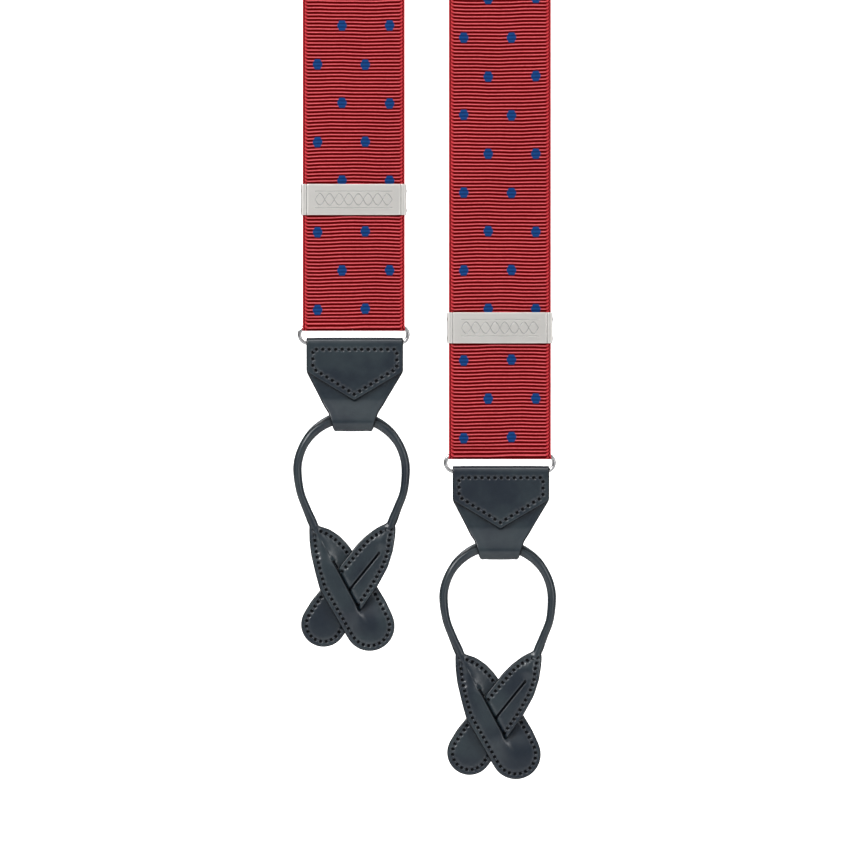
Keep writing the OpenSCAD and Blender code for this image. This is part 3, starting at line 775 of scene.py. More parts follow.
def weave_elastic(name, low, high):
    width = (high.x - low.x) / MM
    u = np.linspace(-width / 2, width / 2, int(width / ELASTIC_RIB * 4) + 1)
    v = np.arange(
        0, (high.z - low.z) / MM + 0.01, (high.z - low.z) / MM / max(3, round((high.z - low.z) / MM / 1.5))
    )
    half = 0.55 + 0.15 * np.abs(np.cos(np.pi * u / ELASTIC_RIB))
    half[[0, -1]] = 0.35
    grid_u, grid_v = np.meshgrid(u, v)
    x = grid_u + (low.x + high.x) / 2 / MM
    z = grid_v + low.z / MM
    middle_y = (low.y + high.y) / 2 / MM
    back = np.stack([x, middle_y + half + x * 0, z], -1)
    front = np.stack([x, middle_y - half + x * 0, z], -1)
    cloth = np.stack([grid_u, grid_v, x * 0], -1).reshape(-1, 3)
    verts = np.concatenate([front.reshape(-1, 3), back.reshape(-1, 3)])
    return make_piece(
        name, verts * MM, strip_faces(len(v), len(u)), ELASTIC, {"cloth": np.concatenate([cloth, cloth])}
    )


stretch = weave_elastic("rear_elastic_web", elastic_lo, elastic_hi)
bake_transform(stretch)
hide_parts("rear_elastic")
end_web = weave_elastic("rear_elastic_sewn_end", *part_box("rear_elastic_end"))
dress(end_web, "rear_end", ["rear_elastic_end"])
print("elastic", len(stretch.data.polygons), "faces")

# %% [markdown]
# All the flat leather is cut the same way: an outline, perhaps a buttonhole, and a row of stitch holes.
# The plate is filled with triangles, finer at the rims, and given two faces. Near every cut edge the faces
# close in, which gives the rounded painted rim. Round each stitch hole they dip. A bend function then
# carries the flat plate to its real curve, so folded and woven pieces start as plain flat cuts.

# %% Outline tools


def resample(points, step, closed=True):
    p = np.asarray(points, float)
    if closed:
        p = np.vstack([p, p[:1]])
    lengths = np.concatenate([[0], np.cumsum(np.linalg.norm(np.diff(p, axis=0), axis=1))])
    count = max(3, int(round(lengths[-1] / step)))
    marks = np.linspace(0, lengths[-1], count + 1)
    out = np.stack([np.interp(marks, lengths, p[:, k]) for k in (0, 1)], -1)
    return out[:-1] if closed else out


def rounded(points, step=0.45, rounds=6):
    """A closed outline with its corners eased."""
    p = resample(points, step)
    for _ in range(rounds):
        p = (np.roll(p, 1, 0) + 2 * p + np.roll(p, -1, 0)) / 4
    return p


def outward(p):
    """Unit normals of a closed outline, to its right when it runs anticlockwise."""
    t = np.roll(p, -1, 0) - np.roll(p, 1, 0)
    t /= np.linalg.norm(t, axis=1)[:, None]
    area = np.sum(p[:, 0] * np.roll(p[:, 1], -1) - np.roll(p[:, 0], -1) * p[:, 1])
    return np.stack([t[:, 1], -t[:, 0]], -1) * (1 if area > 0 else -1)


def inside(p, loop):
    x, y = p[:, 0][:, None], p[:, 1][:, None]
    x1, y1 = loop[:, 0][None], loop[:, 1][None]
    x2, y2 = np.roll(loop[:, 0], -1)[None], np.roll(loop[:, 1], -1)[None]
    crosses = ((y1 > y) != (y2 > y)) & (x < (x2 - x1) * (y - y1) / (y2 - y1 + 1e-12) + x1)
    return crosses.sum(1) % 2 == 1


def nearest(p, cloud):
    best = np.full(len(p), 1e9)
    for start in range(0, len(cloud), 400):
        gap = np.linalg.norm(p[:, None] - cloud[None, start:start + 400], axis=2).min(1)
        best = np.minimum(best, gap)
    return best


def slot_loop(start, end, width):
    """Buttonhole outline: a slit with round ends."""
    a, b = np.asarray(start, float), np.asarray(end, float)
    d = (b - a) / np.linalg.norm(b - a)
    n = np.array([-d[1], d[0]])
    turn = np.linspace(-np.pi / 2, np.pi / 2, 7)
    far = [b + width / 2 * (math.cos(t) * d + math.sin(t) * n) for t in turn]
    near = [a - width / 2 * (math.cos(t) * d + math.sin(t) * n) for t in turn]
    return resample(np.array(far + near), 0.4)


def slit_place(flat, slit):
    """Distance along a slit as a share of its length, and distance to the right of it in millimetres."""
    start, end = slit
    d = end - start
    length = np.linalg.norm(d)
    d = d / length
    rel = flat - start
    return rel @ d / length, rel @ np.array([-d[1], d[0]])


# %% Cut a leather plate
SLIT_WIDTH = 0.04
RIM_STEPS = (0.0, 0.12, 0.32, 0.6)
RIM_HEIGHT = (0.42, 0.74, 0.94, 1.0)
RIM_MASK = (1.0, 0.8, 0.38, 0.0)
# Each step round a stitch hole: distance from its centre, how deep it sinks, and how dark it is coloured, the
# last being painted shade in the hole.
PIT_STEPS = ((0.0, 1.0, 1.0), (0.45, 0.95, 1.0), (0.62, 0.3, 0.45), (0.92, 0.0, 0.0))


def cut_plate(outline, slits=(), pits=(), grid=1.0, depth=0.5, puff=0.1):
    """Flat points with rim height, rim mask, hole depth and the holes' painted shade, and the triangles
    between them.
    """
    holes = [slot_loop(start, end, SLIT_WIDTH) for start, end in slits]
    loops = [outline, *holes]
    points, height, rim, sink, dark = [], [], [], [], []
    edges = []
    for index, loop in enumerate(loops):
        toward = -outward(loop) if index == 0 else outward(loop)
        spread = 1.0 if index == 0 else 1.5
        for step, tall, mask in zip(RIM_STEPS, RIM_HEIGHT, RIM_MASK):
            step *= spread
            ring = loop + toward * step
            if step > 0:
                clear = nearest(ring, np.concatenate(loops)) > step * 0.8
                ring = ring[clear & inside(ring, outline)]
            else:
                first = sum(len(q) for q in points)
                edges += [(first + i, first + (i + 1) % len(ring)) for i in range(len(ring))]
            points.append(ring)
            height += [tall] * len(ring)
            rim += [mask] * len(ring)
            sink += [0.0] * len(ring)
            dark += [0.0] * len(ring)
    pits = np.asarray(pits, float).reshape(-1, 2)
    for centre in pits:
        for reach, deep, black in PIT_STEPS:
            turns = [0] if reach == 0 else np.arange(8) * math.pi / 4 + reach
            ring = np.array([centre + reach * np.array([math.cos(t), math.sin(t)]) for t in turns])
            points.append(ring)
            height += [1.0] * len(ring)
            rim += [0.0] * len(ring)
            sink += [deep * depth] * len(ring)
            dark += [black] * len(ring)
    low, high = outline.min(0), outline.max(0)
    rows = np.arange(low[1], high[1], grid * 0.87)
    lattice = [
        (x + (j % 2) * grid / 2, y) for j, y in enumerate(rows) for x in np.arange(low[0], high[0], grid)
    ]
    lattice = np.array(lattice)
    keep = inside(lattice, outline) & (nearest(lattice, np.concatenate(loops)) > 0.95)
    for hole in holes:
        keep &= ~inside(lattice, hole)
    if len(pits):
        keep &= nearest(lattice, pits) > 1.15
    lattice = lattice[keep]
    points.append(lattice)
    for store, value in ((height, 1.0), (rim, 0.0), (sink, 0.0), (dark, 0.0)):
        store += [value] * len(lattice)
    flat = np.concatenate(points)
    made, _, faces, origins, _, _ = delaunay_2d_cdt([Vector(p) for p in flat], edges, [], 0, 1e-5)
    source = np.array([o[0] for o in origins])
    made = np.array([tuple(p) for p in made])
    faces = np.array([f for f in faces if len(f) == 3])
    centres = made[faces].mean(1)
    good = inside(centres, outline)
    for hole in holes:
        good &= ~inside(centres, hole)
    marks = [np.array(q)[source] for q in (height, rim, sink, dark)]
    room = nearest(made, outline)
    pressed = 0.10 * np.exp(-((room - 2.1) / 0.8) ** 2)
    marks[0] = marks[0] * (1 + puff * (1 - np.exp(-np.maximum(0, room - 1.5) / 2.0)) - pressed)
    for start, end in slits:
        share, right = slit_place(made, (start, end))
        shut = (np.abs(right) < 0.03) & (share > -0.01) & (share < 1.01)
        d = (end - start) / np.linalg.norm(end - start)
        made[shut] -= np.outer(right[shut] * 0.98, [-d[1], d[0]])
    return made, faces[good], marks


def plate_piece(
    name, outline, thickness, bend, material, slits=(), pits=(), grid=1.0, depth=0.5, matrix=None,
    backs=True, puff=0.08,
):
    """bend(points, offset) carries flat points, offset along the plate's normal, to their place."""
    flat, faces, (height, rim, sink, dark) = cut_plate(outline, slits, pits, grid, depth, puff)
    half = thickness / 2 * height
    front = bend(flat, half - sink)
    back = bend(flat, -half + (sink if backs else 0))
    count = len(flat)
    pairs = {}
    for a, b, c in faces:
        for i, j in ((a, b), (b, c), (c, a)):
            pairs[(i, j)] = pairs.get((i, j), 0) + 1
    border = [(i, j) for i, j in pairs if (j, i) not in pairs]
    walls = [(j, i, i + count, j + count) for i, j in border]
    skin = [tuple(f) for f in faces] + [(a + count, c + count, b + count) for a, b, c in faces] + walls
    marks = {
        "edge": np.concatenate([rim, rim]),
        "pit_shade": np.concatenate([dark, dark if backs else dark * 0]),
    }
    return make_piece(name, np.concatenate([front, back]), skin, material, marks, matrix)


def seam_points(path, pitch):
    """Evenly spaced stitch holes along an open path."""
    return resample(path, pitch, closed=False)


print("leather tools ready")

# %% [markdown]
# Waxed thread sinks into the holes and lies a little proud between them. Each stitch is a short fat
# capsule laid on the flat plate between two holes, and it is bent with the plate.

# %% Sew along a seam


def sew(name, rows, material, radius=0.27, matrix=None):
    """rows holds (holes, bend, surface): a list of holes, the plate's bend and the face's offset."""
    verts, faces, marks = [], [], []
    sides, rings = 8, 7
    for holes, bend, surface in rows:
        for start, end in zip(holes[:-1], holes[1:]):
            d = end - start
            length = np.linalg.norm(d)
            d = d / length
            n = np.array([-d[1], d[0]])
            first = len(verts)
            flat, offsets = [], []
            for i in range(rings):
                t = i / (rings - 1)
                thick = radius * math.sqrt(max(0.03, 1 - (2 * t - 1) ** 4))
                along = 0.22 * length + 0.56 * length * t
                for k in range(sides):
                    turn = 2 * math.pi * k / sides
                    flat.append(start + d * along + n * thick * math.cos(turn))
                    lift = surface - math.copysign(0.42, surface) * (2 * t - 1) ** 4
                    offsets.append(lift + thick * math.sin(turn))
                    marks.append((radius * turn, along, 0))
            verts += list(bend(np.array(flat), np.array(offsets)))
            for i in range(rings - 1):
                for k in range(sides):
                    a, b = first + i * sides + k, first + i * sides + (k + 1) % sides
                    faces.append((a, b, b + sides, a + sides))
    return make_piece(name, verts, faces, material, {"cloth": marks}, matrix)


# %% [markdown]
# The front tab is one strip of calf. It starts as the pointed flap in front, goes up over the ring's lower
# bar, down the back, round the rolled loop and up again between the two layers, and one seam holds all
# three. The strip's path is drawn from the side, and the strip is cut flat to the width that each part
# of the path needs.

# %% Path of a folded strip
TAB_LAYER = 1.45
TUNNEL_Z, TUNNEL_R = -34.1, 2.8
RING_LOW_Z = -4.55


def arc(centre_y, centre_z, radius, start, end, count=24):
    turns = np.linspace(start, end, count)
    return [(centre_y + radius * math.cos(t), centre_z + radius * math.sin(t)) for t in turns]


def ease(a, b, t):
    return a + (b - a) * t * t * (3 - 2 * t)


def swell(y_thin, side_sign, downward):
    """From the flat layer out to the tunnel's side: mostly straight, with slightly eased ends."""
    steps = np.linspace(0, 1, 14)
    out = side_sign * TUNNEL_R
    line = [
        (0.7 * (y_thin + (out - y_thin) * t) + 0.3 * ease(y_thin, out, t), -25.4 - 8.6 * t) for t in steps
    ]
    return line if downward else line[::-1]


class Fold:
    """A strip's side view: distance along it gives depth, height and the way its face looks."""

    def __init__(self, points):
        self.p = resample(points, 0.25, closed=False)
        for _ in range(3):
            self.p[1:-1] = (self.p[:-2] + 2 * self.p[1:-1] + self.p[2:]) / 4
        step = np.linalg.norm(np.diff(self.p, axis=0), axis=1)
        self.run = np.concatenate([[0], np.cumsum(step)])
        way = np.gradient(self.p, self.run, axis=0)
        self.face = np.stack([-way[:, 1], way[:, 0]], -1)
        self.face /= np.linalg.norm(self.face, axis=1)[:, None]

    def bend(self, flat, offset):
        v = flat[:, 1]
        y = np.interp(v, self.run, self.p[:, 0]) + offset * np.interp(v, self.run, self.face[:, 0])
        z = np.interp(v, self.run, self.p[:, 1]) + offset * np.interp(v, self.run, self.face[:, 1])
        return np.stack([flat[:, 0], y, z], -1)

    def find(self, z, depth_sign, after=0.0):
        """Distance along at height z, on the front (-1) or back (+1) of the strip, past a given distance."""
        ok = (self.run > after) & (np.sign(self.p[:, 0] + 1e-4 * depth_sign) == depth_sign)
        spots = np.where(ok)[0]
        return float(self.run[spots[np.argmin(np.abs(self.p[spots, 1] - z))]])


def tab_fold():
    y = TAB_LAYER
    up = [(-y, -26.2), (-y, RING_LOW_Z)]
    over = arc(0, RING_LOW_Z, y, math.pi, 0)
    down = [(y, -10), *swell(y, 1, True), (TUNNEL_R, TUNNEL_Z)]
    under = arc(0, TUNNEL_Z, TUNNEL_R, 0, -math.pi)
    back_up = [*swell(0.0, -1, False), (0, -20), (0, -9)]
    return Fold(up + over + down + under + back_up)


TAB = tab_fold()
print("front tab strip is", round(TAB.run[-1], 1), "mm long")

# %% Cut and fold the front tabs
TAB_LEFT, TAB_RIGHT, TAB_CORNER = -17.7, 18.5, -15.4
TIP = (0.2, -26.2)
PANEL = (-11.1, 10.8, -28.0)
NECK = (-9.4, 9.1, -30.8)
FOOT = (-7.1, 6.7)


def strip_outline(tops, marks):
    """Closed outline from (left, right, distance) marks."""
    right = [(r, v) for _, r, v in marks]
    left = [(l, v) for l, _, v in marks][::-1]
    return rounded(np.array(tops + right + left), 0.45, 3)


top_bar = TAB.find(RING_LOW_Z, 1)
low = TAB.find(TUNNEL_Z - TUNNEL_R, -1, top_bar)
back = [TAB.find(z, 1) for z in (TAB_CORNER, PANEL[2], NECK[2])]
front = [TAB.find(z, -1, low) for z in (NECK[2], PANEL[2])]
middle_corner = TAB.run[-1] - (-9 - TAB_CORNER)
tab_marks = [
    (TAB_LEFT, TAB_RIGHT, TAB_CORNER - TIP[1]),
    (TAB_LEFT, TAB_RIGHT, back[0]),
    (*PANEL[:2], back[1]),
    (*NECK[:2], back[2]),
    (*FOOT, low),
    (*NECK[:2], front[0]),
    (*PANEL[:2], front[1]),
    (TAB_LEFT + 0.3, TAB_RIGHT - 0.3, middle_corner),
    (TAB_LEFT + 0.3, TAB_RIGHT - 0.3, TAB.run[-1] - 0.1),
]
tab_outline = strip_outline([(TIP[0], 0.0)], tab_marks)
SEAM_IN = 2.4
tab_seam = [
    (TIP[0], TIP[1] + 2.5), (TAB_LEFT + SEAM_IN, -14.0), (TAB_LEFT + SEAM_IN, -6.9),
    (TAB_RIGHT - SEAM_IN, -6.9), (TAB_RIGHT - SEAM_IN, -14.0), (TIP[0], TIP[1] + 2.5),
]
holes_z = seam_points(tab_seam, 2.4)
flap_holes = holes_z - [0, TIP[1]]
back_holes = np.stack([holes_z[:, 0], TAB.find(-10, 1) - (holes_z[:, 1] + 10)], -1)
LEATHER = 1.4
for side in SIDES:
    pits = np.concatenate([flap_holes[:-1], back_holes[:-1]])
    tab = plate_piece(
        f"{side}_tab_strip", tab_outline, LEATHER, TAB.bend, CALF, (), pits, 0.9, 0.5, PLACE[side], False
    )
    dress(tab, f"{side}_leather_tab", [f"{side}_tab"])
    rows = [(flap_holes, TAB.bend, LEATHER / 2), (back_holes, TAB.bend, LEATHER / 2)]
    thread = sew(f"{side}_tab_thread", rows, THREAD, matrix=PLACE[side])
    dress(thread, f"{side}_leather_tab", [f"{side}_tab_stitching"])
    print(side, "tab", len(tab.data.polygons), "faces,", len(pits), "holes")

# %% [markdown]
# The rear end has no flap. Its strip comes down one side of the elastic, goes round the rolled loop and up
# the other side, and a seam through both layers catches the elastic between them.

# %% Cut and fold the rear tab
REAR_HALF, REAR_SIDE = 20.8, -17.5
rear_top = (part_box("rear_tab")[1].z - PLACE["rear"].translation.z) / MM
REAR_LAYER = 1.4


def rear_fold():
    y = REAR_LAYER
    down = [(y, rear_top), (y, -20), *swell(y, 1, True), (TUNNEL_R, TUNNEL_Z)]
    under = arc(0, TUNNEL_Z, TUNNEL_R, 0, -math.pi)
    up = [*swell(-y, -1, False), (-y, -20), (-y, rear_top)]
    return Fold(down + under + up)


REAR = rear_fold()
span = REAR.run[-1]
low = REAR.find(TUNNEL_Z - TUNNEL_R, -1)
rows = [(REAR_HALF, rear_top - REAR_SIDE), (11, REAR.find(PANEL[2], 1)), (9.3, REAR.find(NECK[2], 1))]
rear_marks = [(-w, w, v) for w, v in rows] + [(*FOOT, span / 2)] + [(-w, w, span - v) for w, v in rows[::-1]]
rear_marks = [(-REAR_HALF, REAR_HALF, 0.0)] + rear_marks + [(-REAR_HALF, REAR_HALF, span)]
rear_outline = strip_outline([], rear_marks)
rear_seam = [
    (-18.6, rear_top - 2.4), (18.6, rear_top - 2.4), (18.6, REAR_SIDE + 0.9), (9.4, -26.6),
    (-9.4, -26.6), (-18.6, REAR_SIDE + 0.9), (-18.6, rear_top - 2.4),
]
holes_z = seam_points(rear_seam, 2.4)
back_holes = np.stack([holes_z[:, 0], rear_top - holes_z[:, 1]], -1)
front_holes = np.stack([holes_z[:, 0], span - back_holes[:, 1]], -1)
pits = np.concatenate([back_holes[:-1], front_holes[:-1]])
tab = plate_piece(
    "rear_tab_strip", rear_outline, LEATHER, REAR.bend, CALF, (), pits, 0.9, 0.5, PLACE["rear"], False
)
dress(tab, "rear_end", ["rear_tab"])
rows = [(back_holes, REAR.bend, LEATHER / 2), (front_holes, REAR.bend, LEATHER / 2)]
dress(
    sew("rear_tab_thread", rows, THREAD, matrix=PLACE["rear"]), "rear_end", ["rear_tab_stitching"],
)
print("rear tab", len(tab.data.polygons), "faces")

# %% [markdown]
# The loop is a rolled strip of the same calf, glued round a core so that its edges meet in a seam. It is
# oval: broad across the tunnel, and turned edge-on down the sides. At the bottom it flattens and runs on
# into each leaf as a low ridge that dies away above the buttonhole.

# %% Roll the loops


def smooth_line(points, count):
    """Even points on a soft curve through the given ones."""
    p = np.asarray(points, float)
    pad = np.vstack([2 * p[0] - p[1], p, 2 * p[-1] - p[-2]])
    out = []
    for i in range(1, len(pad) - 2):
        a, b, c, d = pad[i - 1:i + 3]
        for t in np.linspace(0, 1, 24, endpoint=False):
            square, cube = 2 * a - 5 * b + 4 * c - d, 3 * b - a - 3 * c + d
            out.append(0.5 * (2 * b + (c - a) * t + square * t * t + cube * t ** 3))
    out.append(p[-1])
    out = np.array(out)
    run = np.concatenate([[0], np.cumsum(np.linalg.norm(np.diff(out, axis=0), axis=1))])
    marks = np.linspace(0, run[-1], count)
    return np.stack([np.interp(marks, run, out[:, k]) for k in range(p.shape[1])], -1)


LOOP_R = 20.25


def side_of_loop(sign, low_points):
    """One half of the loop from the tunnel down to a leaf: place, in-plane half width, half depth, turn."""
    rows = []
    for degrees in (0, 15, 30, 45, 60, 75, 90):
        t = math.radians(degrees)
        turned = min(1, degrees / 60)
        place = (LOOP_X + sign * LOOP_R * math.sin(t), 0, LOOP_Z + LOOP_R * math.cos(t))
        rows.append((*place, 2.45 - 0.83 * turned, 1.55 + 0.5 * turned, turned))
    return rows + low_points


LEFT_LOW = [
    (-20.0, 0, -60.0, 1.5, 2.05, 1.0), (-17.6, 0, -66.5, 1.55, 1.9, 1.0),
    (-15.4, -0.1, -71.6, 1.7, 1.6, 0.8), (-13.6, -0.3, -76.0, 1.5, 1.35, 0.5),
    (-11.4, -0.6, -80.2, 0.9, 1.2, 0.3), (-9.0, -0.7, -84.0, 0.35, 1.0, 0.2),
]
RIGHT_LOW = [
    (18.7, 0, -60.0, 1.5, 2.05, 1.0), (16.5, 0, -66.0, 1.55, 1.9, 1.0),
    (14.6, -0.1, -70.8, 1.7, 1.6, 0.8), (13.1, -0.4, -74.6, 1.5, 1.35, 0.5),
    (11.6, -0.9, -78.2, 0.9, 1.15, 0.3), (10.3, -1.2, -81.3, 0.35, 1.0, 0.2),
]
line = side_of_loop(-1, LEFT_LOW)[::-1] + side_of_loop(1, RIGHT_LOW)[1:]
LOOP_LINE = smooth_line(line, 300)
AROUND = 32


def roll_loop(name, matrix):
    way = np.gradient(LOOP_LINE[:, :3], axis=0)
    way /= np.linalg.norm(way, axis=1)[:, None]
    depth = np.array([0.0, 1.0, 0.0])
    turns = 2 * np.pi * np.arange(AROUND) / AROUND
    verts, edge, pit_shade = [], [], []
    for row, t in zip(LOOP_LINE, way):
        side_way = np.cross(t, depth)
        side_way /= np.linalg.norm(side_way)
        seam = -math.pi / 2 + row[5] * math.pi * 0.42
        from_seam = np.abs((turns - seam + np.pi) % (2 * np.pi) - np.pi)
        dent = 0.30 * np.exp(-(from_seam / 0.24) ** 2)
        fat = 1 + 0.05 * np.exp(-((from_seam - 0.42) / 0.2) ** 2) - dent
        a, b = row[3] * fat, row[4] * fat
        ring = row[None, :3] + np.outer(np.cos(turns) * a, side_way) + np.outer(np.sin(turns) * b, depth)
        verts.append(ring)
        # Along the seam the dark mark is painted shade in the seam's groove. The edge mark beside it gives a
        # black line with light lines at its sides: painted shade and painted highlight on the seam's lips.
        pit_shade.append(0.9 * np.exp(-(from_seam / 0.20) ** 2))
        edge.append(0.37 * np.exp(-((from_seam - 0.48) / 0.16) ** 2))
    count = len(verts)
    verts = np.concatenate(verts)
    index = np.arange(count * AROUND).reshape(count, AROUND)
    right = np.roll(index, -1, 1)
    faces = [tuple(f) for f in np.stack([index[:-1], right[:-1], right[1:], index[1:]], -1).reshape(-1, 4)]
    faces += [tuple(index[0][::-1]), tuple(index[-1])]
    return make_piece(
        name, verts, faces, CALF, {"edge": np.concatenate(edge), "pit_shade": np.concatenate(pit_shade)}, matrix
    )


for end in ENDS:
    loop = roll_loop(f"{end}_rolled_loop", PLACE[end])
    dress(loop, "rear_loop" if end == "rear" else f"{end}_loop", [f"{end}_loop_cord"])
print("loop is", round(float(np.linalg.norm(np.diff(LOOP_LINE[:, :3], axis=0), axis=1).sum()), 1), "mm round")

# %% [markdown]
# The two leaves button the trousers. Each has a buttonhole, and one leaf is pushed through the buttonhole
# of the other, so it lies in front on the right and behind on the left. The leaf with the slit opens to
# let it by: the strip left of the slit comes forward and the strip right of it goes back.

# %% Shape of the leaves
LOBE_A, LOBE_A_R = np.array([6.0, -110.4]), 9.4
LOBE_B, LOBE_B_R = np.array([-11.3, -109.8]), 8.5
SLIT_A = (np.array([-7.4, -86.3]), np.array([2.1, -104.2]))
SLIT_B = (np.array([9.4, -83.3]), np.array([-1.4, -96.6]))
LEAF = 1.9
PASS = 1.3


def on_circle(centre, radius, start, end, count):
    turns = np.radians(np.linspace(start, end, count))
    return [tuple(centre + radius * np.array([math.cos(t), math.sin(t)])) for t in turns]


OUTLINE_A = rounded(
    [(-16.5, -71.2), (-14.5, -71.2), (-13.1, -72.9), (-11.6, -73.3), (-8.9, -74.2), (-5.2, -76.7),
     (-2.0, -80.1), (8.8, -95.7), (12.1, -101.2), *on_circle(
         LOBE_A, LOBE_A_R, 25, -156, 14
     ), (-12.6, -97.0), (-14.3, -90.8),
     (-16.0, -83.5), (-16.6, -78.6), (-16.7, -74.0)][::-1], 0.45, 5)
OUTLINE_B = rounded(
    [(13.5, -70.6), (15.2, -71.0), (15.8, -74.0), (15.5, -77.5), (14.7, -82.4), (12.8, -88.4), (8.8, -95.7),
     *on_circle(LOBE_B, LOBE_B_R, -38, -210, 14),
     (-16.0, -101.2), (-12.6, -97.0), (-0.4, -82.0), (1.0, -80.1),
     (4.4, -76.7), (8.6, -73.6), (12.4, -71.8)][::-1], 0.45, 5)


def soft_step(x, low, high):
    t = np.clip((x - low) / (high - low), 0, 1)
    return t * t * (3 - 2 * t)


def ridge(flat, start, end, width, height):
    """A low ridge from the neck that fades before the buttonhole."""
    start, end = np.array(start), np.array(end)
    d = end - start
    t = np.clip((flat - start) @ d / (d @ d), 0, 1)
    gap = np.linalg.norm(flat - (start + t[:, None] * d), axis=1)
    return height * np.exp(-(gap / (width * (0.7 + t))) ** 3) * (1 - t) ** 0.7 * np.minimum(1, 0.55 + 3 * t)


def depth_a(flat):
    share, right = slit_place(flat, SLIT_A)
    opened = soft_step(share, -0.55, -0.08) * (1 - soft_step(share, 0.86, 1.5))
    parted = soft_step(share, 0.0, 0.12) * (1 - soft_step(share, 0.88, 1.0))
    beyond = np.maximum(0, np.maximum(-share, share - 1))
    away = PASS * (np.sign(right) * parted + np.tanh(right / (0.9 + 14 * beyond)) * (1 - parted)) * opened
    rest = -0.55 * soft_step(share, -0.5, 0.2)
    return away * np.where(right > 0, 1.0, 0.75) + rest * np.where((right > 0), 1 - opened, 1.0)


def depth_b(flat):
    share, right = slit_place(flat, SLIT_A)
    along_b, _ = slit_place(flat, SLIT_B)
    free = soft_step(along_b, -0.66, -0.2)
    return -PASS * 1.1 * np.tanh(right / 0.8) * free


def leaf_bend(depth, ridge_start, ridge_end, slit, lap):
    def bend(flat, offset):
        base = depth(flat)
        h = 0.05
        slope_x = (depth(flat + [h, 0]) - depth(flat - [h, 0])) / (2 * h)
        slope_z = (depth(flat + [0, h]) - depth(flat - [0, h])) / (2 * h)
        lean = np.sqrt(1 + slope_x ** 2 + slope_z ** 2)
        lift = np.sign(offset) * ridge(flat, ridge_start, ridge_end, 1.7, 0.95)
        reach = np.minimum(1, 1.25 / lean + 0.2)
        y = base - (offset + lift) * np.maximum(reach, 0.75)
        share, right = slit_place(flat, slit)
        tuck = lap * np.exp(-np.maximum(right, 0) / 1.2) * (right > 0) * soft_step(share, -0.1, 0.1) * (
            1 - soft_step(share, 0.9, 1.1)
        )
        d = (slit[1] - slit[0]) / np.linalg.norm(slit[1] - slit[0])
        return np.stack([flat[:, 0] + tuck * d[1], y, flat[:, 1] - tuck * d[0]], -1)
    return bend


BEND_A = leaf_bend(depth_a, (-15.0, -72.5), (-8.6, -84.6), SLIT_A, 0.3)
BEND_B = leaf_bend(depth_b, (14.2, -72.0), (10.2, -81.6), SLIT_B, 0.0)

# %% Cut, pierce and sew the leaves
seam_a = np.concatenate([
    [(-14.9, -74.2), (-14.5, -79.0), (-13.9, -84.0), (-12.3, -90.5), (-10.7, -96.0)],
    on_circle(LOBE_A, LOBE_A_R - 2, -153, 35, 13),
    [(7.1, -96.8), (-3.6, -81.4), (-6.4, -78.4), (-9.6, -76.1), (-12.2, -75.0)],
])
seam_b = np.concatenate([
    [(14.2, -74.2), (13.4, -78.0), (12.7, -82.9), (11.0, -87.6), (7.1, -94.6)],
    on_circle(LOBE_B, LOBE_B_R - 2, -28, -217, 13),
    [(-11.1, -98.0), (1.1, -83.4), (5.7, -78.2), (9.5, -75.5), (12.2, -74.4)],
])
HOLES_A, HOLES_B = seam_points(seam_a, 2.1), seam_points(seam_b, 2.1)
for end in ENDS:
    body = "rear_loop" if end == "rear" else f"{end}_loop"
    leaf_a = plate_piece(
        f"{end}_leaf_front", OUTLINE_A, LEAF, BEND_A, CALF, [SLIT_A], HOLES_A, 0.8, 0.55, PLACE[end],
        puff=0.16
    )
    leaf_b = plate_piece(
        f"{end}_leaf_back", OUTLINE_B, LEAF, BEND_B, CALF, [SLIT_B], HOLES_B, 0.8, 0.55, PLACE[end],
        puff=0.16
    )
    dress(leaf_a, body, [f"{end}_leaf_a"])
    dress(leaf_b, body, [f"{end}_leaf_b"])
    rows = [(HOLES_A, BEND_A, s * (LEAF / 2 - 0.16)) for s in (1, -1)]
    rows += [(HOLES_B, BEND_B, s * (LEAF / 2 - 0.16)) for s in (1, -1)]
    thread = sew(f"{end}_leaf_thread", rows, THREAD, 0.2, PLACE[end])
    dress(thread, body, [f"{end}_leaf_stitching"])
    print(end, "leaves", len(leaf_a.data.polygons) + len(leaf_b.data.polygons), "faces")

# %% [markdown]
# Both ribbons and the elastic end between two plies of the back patch. Where nothing lies between them the
# plies are pressed together, so the sides pinch thin and the middle stands full.

# %% Cut and sew the back patch
patch_lo, patch_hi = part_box("back_patch")
lining_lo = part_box("back_patch_lining")[0]
patch_x = (patch_lo.x + patch_hi.x) / 2 / MM
patch_top = patch_hi.z / MM
plies_y = (patch_hi.y + lining_lo.y) / 2 / MM
patch_height = (patch_hi.z - patch_lo.z) / MM
WIDE, SHOULDER, NARROW = 42.5, -3.72, 20.9
half_outline = [
    (0, 0), (WIDE, SHOULDER), (WIDE - 1.2, SHOULDER - 13), (NARROW + 2, -patch_height + 16),
    (NARROW, -patch_height + 8), (NARROW, -patch_height),
]
patch_outline = rounded(half_outline + [(-x, z) for x, z in half_outline[:0:-1]], 0.5, 5)
half_seam = [
    (0, -3), (39.6, -6.2), (38.5, -15.6), (19.2, -patch_height + 16), (17.6, -patch_height + 7.6),
    (17.6, -patch_height + 2.6), (0, -patch_height + 2.6),
]
patch_seam = half_seam + [(-x, z) for x, z in half_seam[-2::-1]]
patch_holes = seam_points(patch_seam, 2.4)


